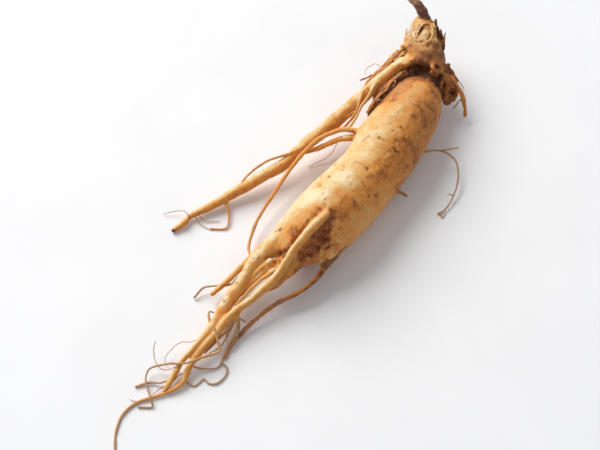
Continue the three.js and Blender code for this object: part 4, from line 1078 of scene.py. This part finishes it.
# ---------------- materials
class Nodes:
    """Short calls for building one material's node tree."""

    def __init__(self, name, roughness, specular):
        self.material = bpy.data.materials.new(name)
        self.material.use_nodes = True
        self.tree = self.material.node_tree
        self.bsdf = self.tree.nodes["Principled BSDF"]
        self.bsdf.inputs["Roughness"].default_value = roughness
        self.bsdf.inputs["Specular IOR Level"].default_value = specular
        self.place = self.tree.nodes.new("ShaderNodeTexCoord").outputs["Object"]

    def link(self, source, target):
        """Joins a socket to an input, or sets the input to a number or a colour."""
        if isinstance(source, (int, float)):
            target.default_value = source
        elif isinstance(source, tuple):
            target.default_value = (*source, 1)
        else:
            self.tree.links.new(source, target)

    def attribute(self, name):
        node = self.tree.nodes.new("ShaderNodeAttribute")
        node.attribute_name = name
        return node.outputs["Fac"]

    def math(self, operation, a, b, clamp=False):
        node = self.tree.nodes.new("ShaderNodeMath")
        node.operation, node.use_clamp = operation, clamp
        self.link(a, node.inputs[0])
        self.link(b, node.inputs[1])
        return node.outputs[0]

    def times(self, a, b):
        return self.math("MULTIPLY", a, b)

    def wobble(self, value, pattern, amount, clamp=False):
        """value, with the pattern's lights and darks (about its middle) laid over it.

        With clamp, what comes out stays between 0 and 1.
        """
        return self.math("ADD", value, self.times(self.math("SUBTRACT", pattern, 0.5), amount), clamp)

    def noise(self, size_mm, detail, rough=0.55, vector=None, stretch=(1, 1, 1), warp=0.0):
        """Noise in the object's own place, or in a vector of millimetres; a stretch below 1 draws it out."""
        node = self.tree.nodes.new("ShaderNodeTexNoise")
        node.inputs["Scale"].default_value = 1.0
        node.inputs["Detail"].default_value = detail
        node.inputs["Roughness"].default_value = rough
        node.inputs["Distortion"].default_value = warp
        mapping = self.tree.nodes.new("ShaderNodeMapping")
        factor = 1 / (size_mm * MM) if vector is None else 1 / size_mm
        mapping.inputs["Scale"].default_value = [factor * s for s in stretch]
        self.link(vector or self.place, mapping.inputs["Vector"])
        self.link(mapping.outputs[0], node.inputs["Vector"])
        return node.outputs["Fac"]

    def rings(self, size_mm, squash):
        """Noise drawn out round the limb, so that it makes rings across its length."""
        combine = self.tree.nodes.new("ShaderNodeCombineXYZ")
        split = self.tree.nodes.new("ShaderNodeSeparateXYZ")
        self.link(self.place, split.inputs[0])
        self.link(self.attribute("along"), combine.inputs[0])
        for axis in (1, 2):
            self.link(self.times(split.outputs[axis], squash / MM), combine.inputs[axis])
        return self.noise(size_mm, detail=3, rough=0.6, vector=combine.outputs[0])

    def spots(self, size_mm, radius):
        node = self.tree.nodes.new("ShaderNodeTexVoronoi")
        node.inputs["Scale"].default_value = 1 / (size_mm * MM)
        self.link(self.place, node.inputs["Vector"])
        return self.ramp(node.outputs["Distance"], radius, radius * 0.4)

    def ramp(self, value, low, high):
        """Goes softly from 0 at low to 1 at high; low may be the larger of the two."""
        node = self.tree.nodes.new("ShaderNodeMapRange")
        node.interpolation_type = "SMOOTHSTEP"
        self.link(value, node.inputs["Value"])
        flip = low > high
        node.inputs["From Min"].default_value = min(low, high)
        node.inputs["From Max"].default_value = max(low, high)
        node.inputs["To Min"].default_value = 1.0 if flip else 0.0
        node.inputs["To Max"].default_value = 0.0 if flip else 1.0
        return node.outputs["Result"]

    def mix(self, share, a, b):
        node = self.tree.nodes.new("ShaderNodeMix")
        node.data_type = "RGBA"
        self.link(share, node.inputs[0])
        self.link(a, node.inputs[6])
        self.link(b, node.inputs[7])
        return node.outputs[2]

    def colours(self, value, stops):
        node = self.tree.nodes.new("ShaderNodeValToRGB")
        ramp = node.color_ramp
        while len(ramp.elements) < len(stops):
            ramp.elements.new(0.5)
        for element, (position, colour) in zip(ramp.elements, stops):
            element.position, element.color = position, (*colour, 1)
        self.link(value, node.inputs["Fac"])
        return node.outputs["Color"]

    def bump(self, height, distance_mm, strength, below=None):
        node = self.tree.nodes.new("ShaderNodeBump")
        node.inputs["Distance"].default_value = distance_mm * MM
        node.inputs["Strength"].default_value = strength
        self.link(height, node.inputs["Height"])
        if below is not None:
            self.link(below, node.inputs["Normal"])
        return node.outputs["Normal"]

    def flesh(self, weight, scale_mm):
        """Lets some light into the surface, and red light the farthest."""
        self.bsdf.inputs["Subsurface Weight"].default_value = weight
        self.bsdf.inputs["Subsurface Radius"].default_value = (1.0, 0.45, 0.2)
        self.bsdf.inputs["Subsurface Scale"].default_value = scale_mm * MM

    def finish(self, colour, normal):
        """Joins up the surface, and gives the material."""
        self.link(colour, self.bsdf.inputs["Base Color"])
        self.link(normal, self.bsdf.inputs["Normal"])
        return self.material


DULL = (0.44, 0.29, 0.18)             # the greyer brown of the thin rootlets
STAIN = (0.20, 0.062, 0.017)          # the brown of the flecks and creases
SKIN_STOPS = [
    (0.0, (0.8, 0.64, 0.39)), (0.25, (0.74, 0.475, 0.195)), (0.5, (0.71, 0.365, 0.11)),
    (0.72, (0.72, 0.285, 0.056)), (0.84, (0.54, 0.195, 0.04)), (0.92, (0.34, 0.115, 0.027)),
    (1.0, (0.13, 0.042, 0.014)),
]
TAN_STOPS = [                         # the drier skin round the bud
    (0.0, (0.80, 0.62, 0.38)), (0.25, (0.72, 0.49, 0.24)), (0.5, (0.60, 0.35, 0.135)),
    (0.72, (0.51, 0.235, 0.068)), (0.88, (0.36, 0.132, 0.032)), (1.0, (0.12, 0.040, 0.013)),
]
SOIL_STOPS = [(0.3, (0.12, 0.035, 0.009)), (0.48, (0.34, 0.110, 0.032)), (0.66, (0.60, 0.25, 0.10))]
# the crown's soil, near black where it stands for painted shade in its crevices
CROWN_SOIL_AND_SHADE_STOPS = [(0.3, (0.045, 0.013, 0.004)), (0.5, (0.11, 0.036, 0.011)), (0.7, (0.26, 0.10, 0.04))]
BARK_STOPS = [(0.3, (0.070, 0.018, 0.012)), (0.5, (0.14, 0.046, 0.028)), (0.7, (0.26, 0.11, 0.06))]
BARK_TIP_STOPS = [(0.3, (0.24, 0.12, 0.06)), (0.7, (0.60, 0.38, 0.19))]
SCALE_STOPS = [
    (0.0, (0.80, 0.60, 0.36)), (0.25, (0.66, 0.42, 0.20)), (0.5, (0.42, 0.21, 0.085)),
    (0.75, (0.17, 0.068, 0.026)), (1.0, (0.045, 0.016, 0.008)),
]
FLOOR_STOPS = [(0.35, (0.90, 0.90, 0.905)), (0.65, (0.93, 0.93, 0.935))]


def skin_material(name, soil_and_shade_stops, mottle):
    """The thick limbs' skin; mottle is the strength of its broad blotches."""
    n = Nodes(name, roughness=0.62, specular=0.3)
    rings = n.rings(0.9, squash=0.18)
    ringed = n.attribute("ringed")
    # the tone attribute brings painted shade along with the skin's own browns
    tone = n.wobble(n.attribute("tone"), n.noise(5.0, detail=4, rough=0.6, warp=0.4), mottle)
    tone = n.wobble(tone, n.noise(1.6, detail=4, rough=0.65), 0.30)
    tone = n.wobble(tone, rings, n.times(ringed, 0.44), clamp=True)
    colour = n.mix(n.attribute("tan"), n.colours(tone, SKIN_STOPS), n.colours(tone, TAN_STOPS))

    specks = n.times(n.spots(2.6, radius=0.14), n.ramp(n.noise(7.0, detail=2), 0.5, 0.62))
    dashes = n.ramp(n.noise(0.9, detail=2, rough=0.5, stretch=(1, 0.4, 0.4)), 0.60, 0.74)
    dashes = n.times(dashes, n.ramp(n.noise(9.0, detail=3), 0.46, 0.60))
    specks = n.math("MAXIMUM", n.times(specks, 0.2), n.times(dashes, 0.4))
    stain = n.times(n.attribute("stain"), n.ramp(n.noise(0.9, detail=4, rough=0.7), 0.26, 0.52))
    colour = n.mix(n.math("MAXIMUM", stain, specks, clamp=True), colour, STAIN)
    colour = n.mix(n.attribute("dull"), colour, DULL)
    # soil, and on the crown also painted shade in its crevices
    soil = n.colours(n.noise(2.4, detail=4, rough=0.62), soil_and_shade_stops)
    colour = n.mix(n.ramp(n.attribute("dark"), 0.1, 0.9), colour, soil)

    n.flesh(0.12, scale_mm=1.5)
    pores = n.bump(n.noise(0.55, detail=4, rough=0.65), distance_mm=0.06, strength=0.6)
    ridges = n.bump(n.times(rings, ringed), distance_mm=0.32, strength=0.6, below=pores)
    wrinkles = n.noise(2.2, detail=3, rough=0.6, warp=0.5)
    return n.finish(colour, n.bump(wrinkles, distance_mm=0.2, strength=0.5, below=ridges))


def rootlet_material():
    n = Nodes("rootlet_skin", roughness=0.6, specular=0.3)
    rings = n.rings(0.8, squash=0.2)
    tone = n.wobble(n.wobble(n.attribute("tone"), rings, 0.42), n.noise(3.5, detail=3), 0.3, clamp=True)
    n.flesh(0.1, scale_mm=1.0)
    colour = n.mix(n.attribute("dull"), n.colours(tone, SKIN_STOPS), DULL)
    return n.finish(colour, n.bump(rings, distance_mm=0.15, strength=0.7))


def bark_material():
    n = Nodes("stem_bark", roughness=0.5, specular=0.35)
    streak = n.noise(1.1, detail=4, rough=0.6, stretch=(1, 0.3, 0.5))
    # the tip attribute also carries the painted highlight down one side
    colour = n.mix(n.attribute("tip"), n.colours(streak, BARK_STOPS), n.colours(streak, BARK_TIP_STOPS))
    return n.finish(colour, n.bump(streak, distance_mm=0.25, strength=0.5))


def scale_material():
    n = Nodes("papery_scale", roughness=0.75, specular=0.2)
    veins = n.noise(0.8, detail=4, rough=0.7, stretch=(0.3, 1, 1))
    # the tone attribute holds each leaf's painted shade at its rim and base
    tone = n.wobble(n.attribute("tone"), veins, 0.5, clamp=True)
    return n.finish(n.colours(tone, SCALE_STOPS), n.bump(veins, distance_mm=0.15, strength=0.8))


def floor_material():
    n = Nodes("pale_floor", roughness=0.55, specular=0.25)
    colour = n.colours(n.noise(40, detail=3), FLOOR_STOPS)
    return n.finish(colour, n.bump(n.noise(3, detail=2), distance_mm=0.05, strength=0.2))


# ---------------- the two skins
def make_skin(name, recipe, cell, material):
    """One skin, from its recipe to its piece."""
    courses = {step[1]: course(step[2], LIMB_STEP) for step in recipe if step[0] == "limb"}
    limbs = list(courses)
    field = build_field(recipe, courses, cell)
    add_feet(field)
    field.cut_below(TABLE)
    vertices, faces = field.surface()
    vertices = relax(vertices, faces, rounds=2, share=0.5)
    marks = owners(vertices, limbs, courses)
    names = np.array(limbs)[marks.owner]
    vertices = skin_shape(vertices, vertex_normals(vertices, faces), names, marks)
    skin = make_mesh(name, vertices, faces, skin_colours(vertices, faces, names, marks), material)
    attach(skin, "root")
    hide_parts("root")


make_skin("root_skin", ROOT_RECIPE, ROOT_CELL, skin_material("ginseng_skin", SOIL_STOPS, mottle=0.6))
make_skin("crown_skin", CROWN_RECIPE, CROWN_CELL, skin_material("crown_skin", CROWN_SOIL_AND_SHADE_STOPS, mottle=0.42))

# ---------------- rootlets and hairs
ROOTLET = rootlet_material()


class Look(NamedTuple):
    """How a rootlet looks; its tone is given where it leaves the root, and at its tip."""
    first_tone: float = 0.6
    last_tone: float = 0.78
    knots: float = 0.14
    wander: float = 0.12
    dull: float = 0.0


ROOTLET_LOOKS = {                     # the others have the usual look
    "tail": Look(0.56, 0.7), "right_thread": Look(0.9, 0.84, dull=0.25), "bow": Look(0.6, 0.66),
    "under_bow": Look(0.7, 0.75), "flank": Look(0.8, 0.85), "flank_fork": Look(0.85, 0.85),
    "peg": Look(0.8, 0.88), "fork_thread_a": Look(0.6, 0.6), "fork_thread_b": Look(0.42, 0.5),
    "outer_fibre": Look(0.8, 0.65, 0.3, 0.3), "outer_strand": Look(0.75, 0.65, 0.3, 0.25),
    "outer_twig": Look(0.8, 0.85), "arm_fibre_a": Look(0.3, 0.5), "arm_fibre_c": Look(0.72, 0.66),
    "arm_fibre_d": Look(0.78, 0.8), "shoulder_cord": Look(1.22, 1.15, 0.7, 0.7),
    "shoulder_fibre": Look(0.92, 0.76, 0.45, 0.35), "shoulder_shred": Look(0.9, 0.85, 0.4, 0.4),
    "web_fibre_a": Look(0.35, 0.6, 0.4, 0.5), "web_fibre_b": Look(0.84, 0.78, 0.5, 0.6),
    "web_fibre_c": Look(0.5, 0.9, 0.5, 0.6), "web_fibre_d": Look(0.45, 0.6, 0.6, 0.6),
    "web_fibre_e": Look(0.8, 0.9, 0.6, 0.6), "outer_shred": Look(0.88, 0.82, 0.4, 0.3, dull=0.4),
    "right_peg": Look(0.72, 0.86, 0.2, 0.15), "right_hair": Look(0.85, 0.85), "right_twig": Look(0.85, 0.9),
}
BROWNER = ("arm_", "shoulder_", "outer_", "web_")   # how the names of the browner rootlets begin
rootlets = Bundle("tone", "along", "dull")
for number, (name, stations) in enumerate(THIN.items()):
    look = ROOTLET_LOOKS.get(name, Look())
    vertices, faces, along, part = tube(stations, spacing=0.45, sides=10, seed=100 + 10 * number,
                                        knots=look.knots, wander=look.wander)
    thick = np.interp(part, np.linspace(0, 1, len(stations)), [row[3] for row in stations])
    greyness = 0.225 if name.startswith(BROWNER) else 0.75
    dull = np.maximum(greyness * smoothstep(0.8, 0.35, thick), look.dull)
    tone = look.first_tone + (look.last_tone - look.first_tone) * part
    rootlets.add(vertices, faces, tone=tone, along=along, dull=dull)
rootlets = rootlets.make("rootlets", ROOTLET)
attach(rootlets, "root")

HAIRS = [                             # too fine for the solids, radius 0.1 to 0.5
    [[-43, 48, 2, 0.2], [-42.5, 51, 2, 0.15], [-44, 54, 1.5, 0.15], [-46, 56, 1, 0.12],
     [-47, 57, 0.5, 0.1]],
    [[-41, 46.5, 3, 0.2], [-41, 45, 2, 0.16], [-41, 43, 1, 0.16], [-39.5, 40, 0.5, 0.12],
     [-38, 38, 0.5, 0.1]],
    [[-41.5, 47, 2, 0.2], [-43, 43.5, 1, 0.15], [-43, 40, 0.5, 0.12], [-42, 38, 0.5, 0.1]],
    [[11.5, 15.5, 11.5, 0.22], [11.5, 18, 7, 0.16], [8.5, 18.5, 2, 0.14], [5, 19.5, 1, 0.14],
     [2, 21.5, 0.5, 0.16], [-1.5, 23, 0.4, 0.14]],
    [[43, 17.4, 15, 0.2], [44, 20, 13, 0.14], [44.5, 22.5, 12, 0.12], [43, 24, 11, 0.12],
     [41.5, 25, 10, 0.1], [40, 24, 9, 0.1]],
    [[-107, 19.6, 0.8, 0.25], [-110, 22, 0.6, 0.2], [-111.5, 24, 0.5, 0.2], [-111.5, 25.5, 0.5, 0.12]],
    [[-98, 16.5, 0.8, 0.25], [-95, 16, 1, 0.2], [-93.5, 14.5, 1, 0.16], [-92.5, 12.5, 1.5, 0.12]],
    [[17, -28.6, 2.2, 0.25], [16.5, -27.5, 2.5, 0.18], [15.5, -26.8, 3, 0.12]],
    [[9, -28.2, 0.6, 0.25], [7.5, -29.5, 0.4, 0.16], [10, -30, 0.3, 0.12]],
    [[-77, 16, 6.5, 0.25], [-81.5, 16.5, 6, 0.18], [-84, 18.5, 5, 0.16], [-86, 22, 4, 0.16],
     [-89.5, 23.5, 2.5, 0.14], [-93, 23.5, 2, 0.14], [-95, 21.5, 1, 0.12]],
    [[-90.5, 29, 5.5, 0.14], [-93.5, 28, 4, 0.14], [-96, 25.3, 3, 0.14], [-97, 22, 2, 0.14],
     [-95.5, 19.5, 2, 0.14], [-92.5, 18, 3, 0.16]],
    [[-52, 15.4, 10, 0.22], [-54, 18.5, 6, 0.16], [-57, 19.5, 4, 0.14]],
    [[-101, 17.4, 1.6, 0.25], [-103.5, 19, 1, 0.18], [-106, 19.5, 0.8, 0.14]],
    [[-67, 10.6, 6, 0.5], [-70.8, 10.2, 4.4, 0.36], [-76.7, 11, 3.8, 0.3], [-81.6, 12.6, 2.8, 0.18]],
    [[-67.6, 9.4, 5, 0.5], [-70.7, 7.6, 3.4, 0.4], [-75, 6.6, 2.4, 0.32], [-77.6, 7, 1.8, 0.2]],
    [[-69.3, 10.2, 5.4, 0.42], [-72.6, 9.6, 4.6, 0.34], [-79.3, 9.4, 3.2, 0.26], [-83.5, 11.6, 2.2, 0.18]],
    [[-71.8, 10.2, 5, 0.26], [-75, 9.8, 4.8, 0.2], [-76.8, 8.2, 4.2, 0.17], [-74.6, 7.2, 3.6, 0.14]],
    [[-85.5, 12.6, 2.2, 0.22], [-87.7, 13.6, 1.6, 0.16], [-89.5, 15.4, 1, 0.12]],
]
hairs = Bundle("tone", "along", "dull")
for number, stations in enumerate(HAIRS):
    vertices, faces, along, part = tube(stations, spacing=0.5, sides=6, seed=900 + 10 * number,
                                        knots=0.2, wander=0.2)
    hairs.add(vertices, faces, tone=0.74 + 0.1 * part, along=along, dull=0.6)
hairs = hairs.make("hairs", ROOTLET)
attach(hairs, "root")

# ---------------- the dead stem's stub
STUB_STEP = 0.3
HIGHLIGHT_SIDE = np.array([-0.5, 0.7, 0.2])     # painted highlight: the bark takes the tip's paler colour on this side, towards the lamp
vertices, faces, _, part = tube(STEM_STUB, STUB_STEP, sides=28, seed=5, knots=0.10, wander=0.12, blunt=0.8)
middle = course(STEM_STUB, STUB_STEP)[:, :3]
nearest = np.argmin(((vertices[:, None, :] - middle[None]) ** 2).sum(2), axis=1)
outward = vertices - middle[nearest]
outward /= np.maximum(np.linalg.norm(outward, axis=1), 0.2)[:, None]
vertices = vertices + 0.16 * outward * fractal(vertices, size=1.1, octaves=2, seed=8)[:, None]
# tip: share of the tip's paler colour, at the tip, somewhat at the base, and as a painted highlight down one
# side
tip = smoothstep(0.5, 0.85, part) + 0.35 * smoothstep(0.3, 0.12, part) + 0.5 * (outward @ HIGHLIGHT_SIDE > 0.75)
stub = make_mesh("stem_stub_bark", vertices, faces, {"tip": tip}, bark_material())
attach(stub, "root")
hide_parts("stem_stub")

# ---------------- papery scales round the crown's tip
CROWN_MIDDLE, CROWN_AXIS = np.array([58, 9.7, 17.4]), np.array([0.852, 0.487, 0.195])
LEAF_COLUMNS, LEAF_ROWS = 16, 18
LEAF_THICKNESS = 0.3
BEND_RADIUS = 3.5                     # of a leaf round the crown's axis


def leaf_faces():
    """Faces of a leaf: its front and back sheets, then the strip round its rim."""
    count = LEAF_COLUMNS * LEAF_ROWS
    faces = []
    for row in range(LEAF_ROWS - 1):
        for column in range(LEAF_COLUMNS - 1):
            a = row * LEAF_COLUMNS + column
            b, c, d = a + 1, a + LEAF_COLUMNS + 1, a + LEAF_COLUMNS
            faces.append([a, b, c, d])
            faces.append([count + a, count + d, count + c, count + b])
    grid = np.arange(count).reshape(LEAF_ROWS, LEAF_COLUMNS)
    rim = [*grid[0], *grid[1:, -1], *grid[-1, -2::-1], *grid[-2:0:-1, 0]]
    for a, b in zip(rim, rim[1:] + rim[:1]):
        faces.append([b, a, count + a, count + b])
    return faces


def scale_leaf(base, tip, width, belly, lift, tone, seed, face=None):
    """A thin torn sheet from base to tip, bent round the crown's axis; it faces away from it, or as given."""
    base, tip = np.array(base, float), np.array(tip, float)
    middle = (base + tip) / 2 - CROWN_MIDDLE
    outward = np.array(face or middle - CROWN_AXIS * (middle @ CROWN_AXIS), float)
    length = np.linalg.norm(tip - base)
    ahead = (tip - base) / length
    outward -= ahead * (outward @ ahead)
    outward /= np.linalg.norm(outward)
    aside = np.cross(outward, ahead)

    # u goes from -1 to 1 across the leaf, and w from 0 at its base to 1 at its tip
    u, w = np.meshgrid(np.linspace(-1, 1, LEAF_COLUMNS), np.linspace(0, 1, LEAF_ROWS))
    u, w = u.ravel(), w.ravel()
    flat = np.stack([u * width / 2, w * length, np.full_like(u, seed * 1.7)], 1)
    point, tear = (0.34, 0.3) if face else (0.1, 0.14)
    reach = 1 - point * np.abs(u) ** 2.5 + tear * fractal(flat * [1, 0, 1], 0.8, 3, seed)
    half = width / 2 * (0.85 + 0.25 * np.sin(math.pi * w)) * (1 - point * w**3)
    half = half * (1 + 0.14 * fractal(flat * [0, 1, 1], 1.3, 2, seed + 1))
    stand = belly * 4 * w * (1 - w) + lift * w * w - 0.9 * (1 - w) ** 2
    stand = stand - (u * half) ** 2 / (2 * BEND_RADIUS) + 0.3 * fractal(flat, 1.6, 3, seed + 2)
    sheet = base + (w * length * reach)[:, None] * ahead + (u * half)[:, None] * aside
    half_thick = LEAF_THICKNESS * (1 - 0.55 * w) / 2
    vertices = np.vstack([sheet + (stand + side * half_thick)[:, None] * outward for side in (1, -1)])

    # painted shade: each leaf is darker at its rim and towards its base, where the leaves overlap
    edge = np.maximum(smoothstep(0.75, 1.0, w), smoothstep(0.75, 1.0, np.abs(u)))
    shade = tone + 0.36 * edge * (0.5 + fractal(flat, 0.8, 2, seed + 3)) + 0.16 * (1 - w)
    shade += 0.2 * fractal(flat * [3, 1, 1], 2.4, 2, seed + 4)
    return vertices, leaf_faces(), np.tile(np.clip(shade, 0, 1), 2)


TO_THE_FRONT = (-0.35, -0.25, 0.9)
SCALES = [   # base, tip, width, belly, lift of the tip, tone (0 pale to 1 dark), and for some where they face
    ((54.8, 16.4, 17.4), (60.8, 19.2, 17.6), 4.6, 0.4, 0.1, 0.24),
    ((56, 15.6, 20.4), (62.2, 17.6, 20.8), 4.4, 0.5, 0.1, 0.14),
    ((57.2, 14.4, 22), (64, 15.6, 22.2), 3.2, 0.3, 0.05, 0.1),
    ((61.4, 8.4, 22.8), (66, 10.8, 21.8), 2.6, 0.4, 0.2, 0.3),
    ((64, 9.2, 22), (68.6, 11.3, 21.6), 1.8, 0.2, 0.2, 0.75, TO_THE_FRONT),
    ((60.6, 5.6, 20.6), (65.4, 8.5, 21.5), 2.6, 0.3, 0.2, 0.86, TO_THE_FRONT),
    ((62.6, 5.4, 19), (67, 7.6, 19.8), 2, 0.2, 0.2, 0.72, TO_THE_FRONT),
    ((58.4, 2.4, 19.2), (67, 5.8, 18), 1.7, 0.3, 0.2, 0.6, TO_THE_FRONT),
    ((56.8, 2.6, 20.6), (63.2, 5.5, 20), 2.4, 0.3, 0.2, 0.7, TO_THE_FRONT),
    ((57, 2.2, 18), (63.4, 4.6, 17), 3.2, 0.4, 0.3, 0.6),
    ((57.6, 3.4, 15), (64, 7, 13.6), 4, 0.4, 0.3, 0.55),
    ((56.6, 6.6, 11.6), (63.4, 10, 11.6), 4.8, 0.4, 0.3, 0.5),
    ((56, 12, 11.8), (62.6, 14.6, 13), 4.8, 0.4, 0.3, 0.45),
    ((61, 9.6, 12.4), (66.6, 13, 14.2), 3.6, 0.4, 0.3, 0.4),
    ((61.6, 15.6, 15.8), (66.2, 17.8, 17.6), 3.6, 0.4, 0.2, 0.3),
    ((63.6, 9.4, 16.6), (68.4, 12.6, 17.4), 3, 0.3, 0.3, 0.6),
]
FIBRES = [                            # stiff dark fibres standing out of the crown
    [[59.5, 2.6, 18, 0.4], [62.5, 3.6, 17.8, 0.3], [65, 4.6, 17, 0.24], [67.7, 6, 16.5, 0.16]],
    [[58.5, 4.8, 20.5, 0.35], [61.5, 5.6, 20.8, 0.25], [64, 7, 20.6, 0.15]],
    [[60, 2.6, 13.6, 0.35], [62.6, 3.4, 12, 0.25], [65, 5.2, 11, 0.15]],
    [[64.6, 8.4, 20.6, 0.35], [67, 9.8, 20.4, 0.25], [69.4, 11.4, 19.6, 0.14]],
]
leaves = Bundle("tone")
for number, leaf in enumerate(SCALES):
    vertices, faces, shade = scale_leaf(*leaf[:6], 300 + 7 * number, *leaf[6:])
    leaves.add(vertices, faces, tone=shade)
for number, stations in enumerate(FIBRES):
    vertices, faces, _, part = tube(stations, spacing=0.4, sides=8, seed=500 + 10 * number,
                                    knots=0.2, wander=0.2)
    leaves.add(vertices, faces, tone=0.75 + 0.1 * part)
leaves = leaves.make("bud_scales", scale_material())
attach(leaves, "root")
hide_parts(*[f"bud_scale_{k}" for k in range(1, 7)])

# ---------------- floor, light and camera, in metres
FLOOR_SIZE = 6
TARGET = Vector((-0.0231, 0.0127, 0.0))
RIGHT, FAR_SIDE = Vector((0.545, -0.839, 0)), Vector((0.839, 0.545, 0))   # right and up in the picture
LAMP_PLACE = TARGET - RIGHT * 1.32 + FAR_SIDE * 1.71 + Vector((0, 0, 1.78))
LAMP_SIZE, LAMP_POWER, LAMP_COLOUR = 2.1, 86.0, (1.0, 1.0, 1.0)
ROOM_COLOUR, ROOM_STRENGTH = (0.97, 0.98, 1.0, 1), 0.41
CAMERA_PLACE = Vector((-0.2143, -0.1115, 0.4674))
LENS_MM, SENSOR_MM = 85, 36


def aim(name, data, place):
    """Puts a lamp or a camera into the scene, turned to the root."""
    thing = bpy.data.objects.new(name, data)
    bpy.context.scene.collection.objects.link(thing)
    thing.location = place
    thing.rotation_euler = (TARGET - place).to_track_quat("-Z", "Y").to_euler()
    return thing


bpy.ops.mesh.primitive_plane_add(size=FLOOR_SIZE, location=(0, 0, 0))
floor = bpy.context.object
floor.name = "floor"
floor.data.materials.append(floor_material())

world = bpy.data.worlds.new("soft_room")
bpy.context.scene.world = world
world.use_nodes = True
background = world.node_tree.nodes["Background"]
background.inputs["Color"].default_value = ROOM_COLOUR
background.inputs["Strength"].default_value = ROOM_STRENGTH

lamp = bpy.data.lights.new("window", "AREA")
lamp.shape, lamp.size, lamp.energy, lamp.color = "DISK", LAMP_SIZE, LAMP_POWER, LAMP_COLOUR
aim("window", lamp, LAMP_PLACE)

view = bpy.data.cameras.new("camera")
view.lens, view.sensor_width = LENS_MM, SENSOR_MM
bpy.context.scene.camera = aim("camera", view, CAMERA_PLACE)
bpy.context.scene.view_settings.view_transform = "Standard"
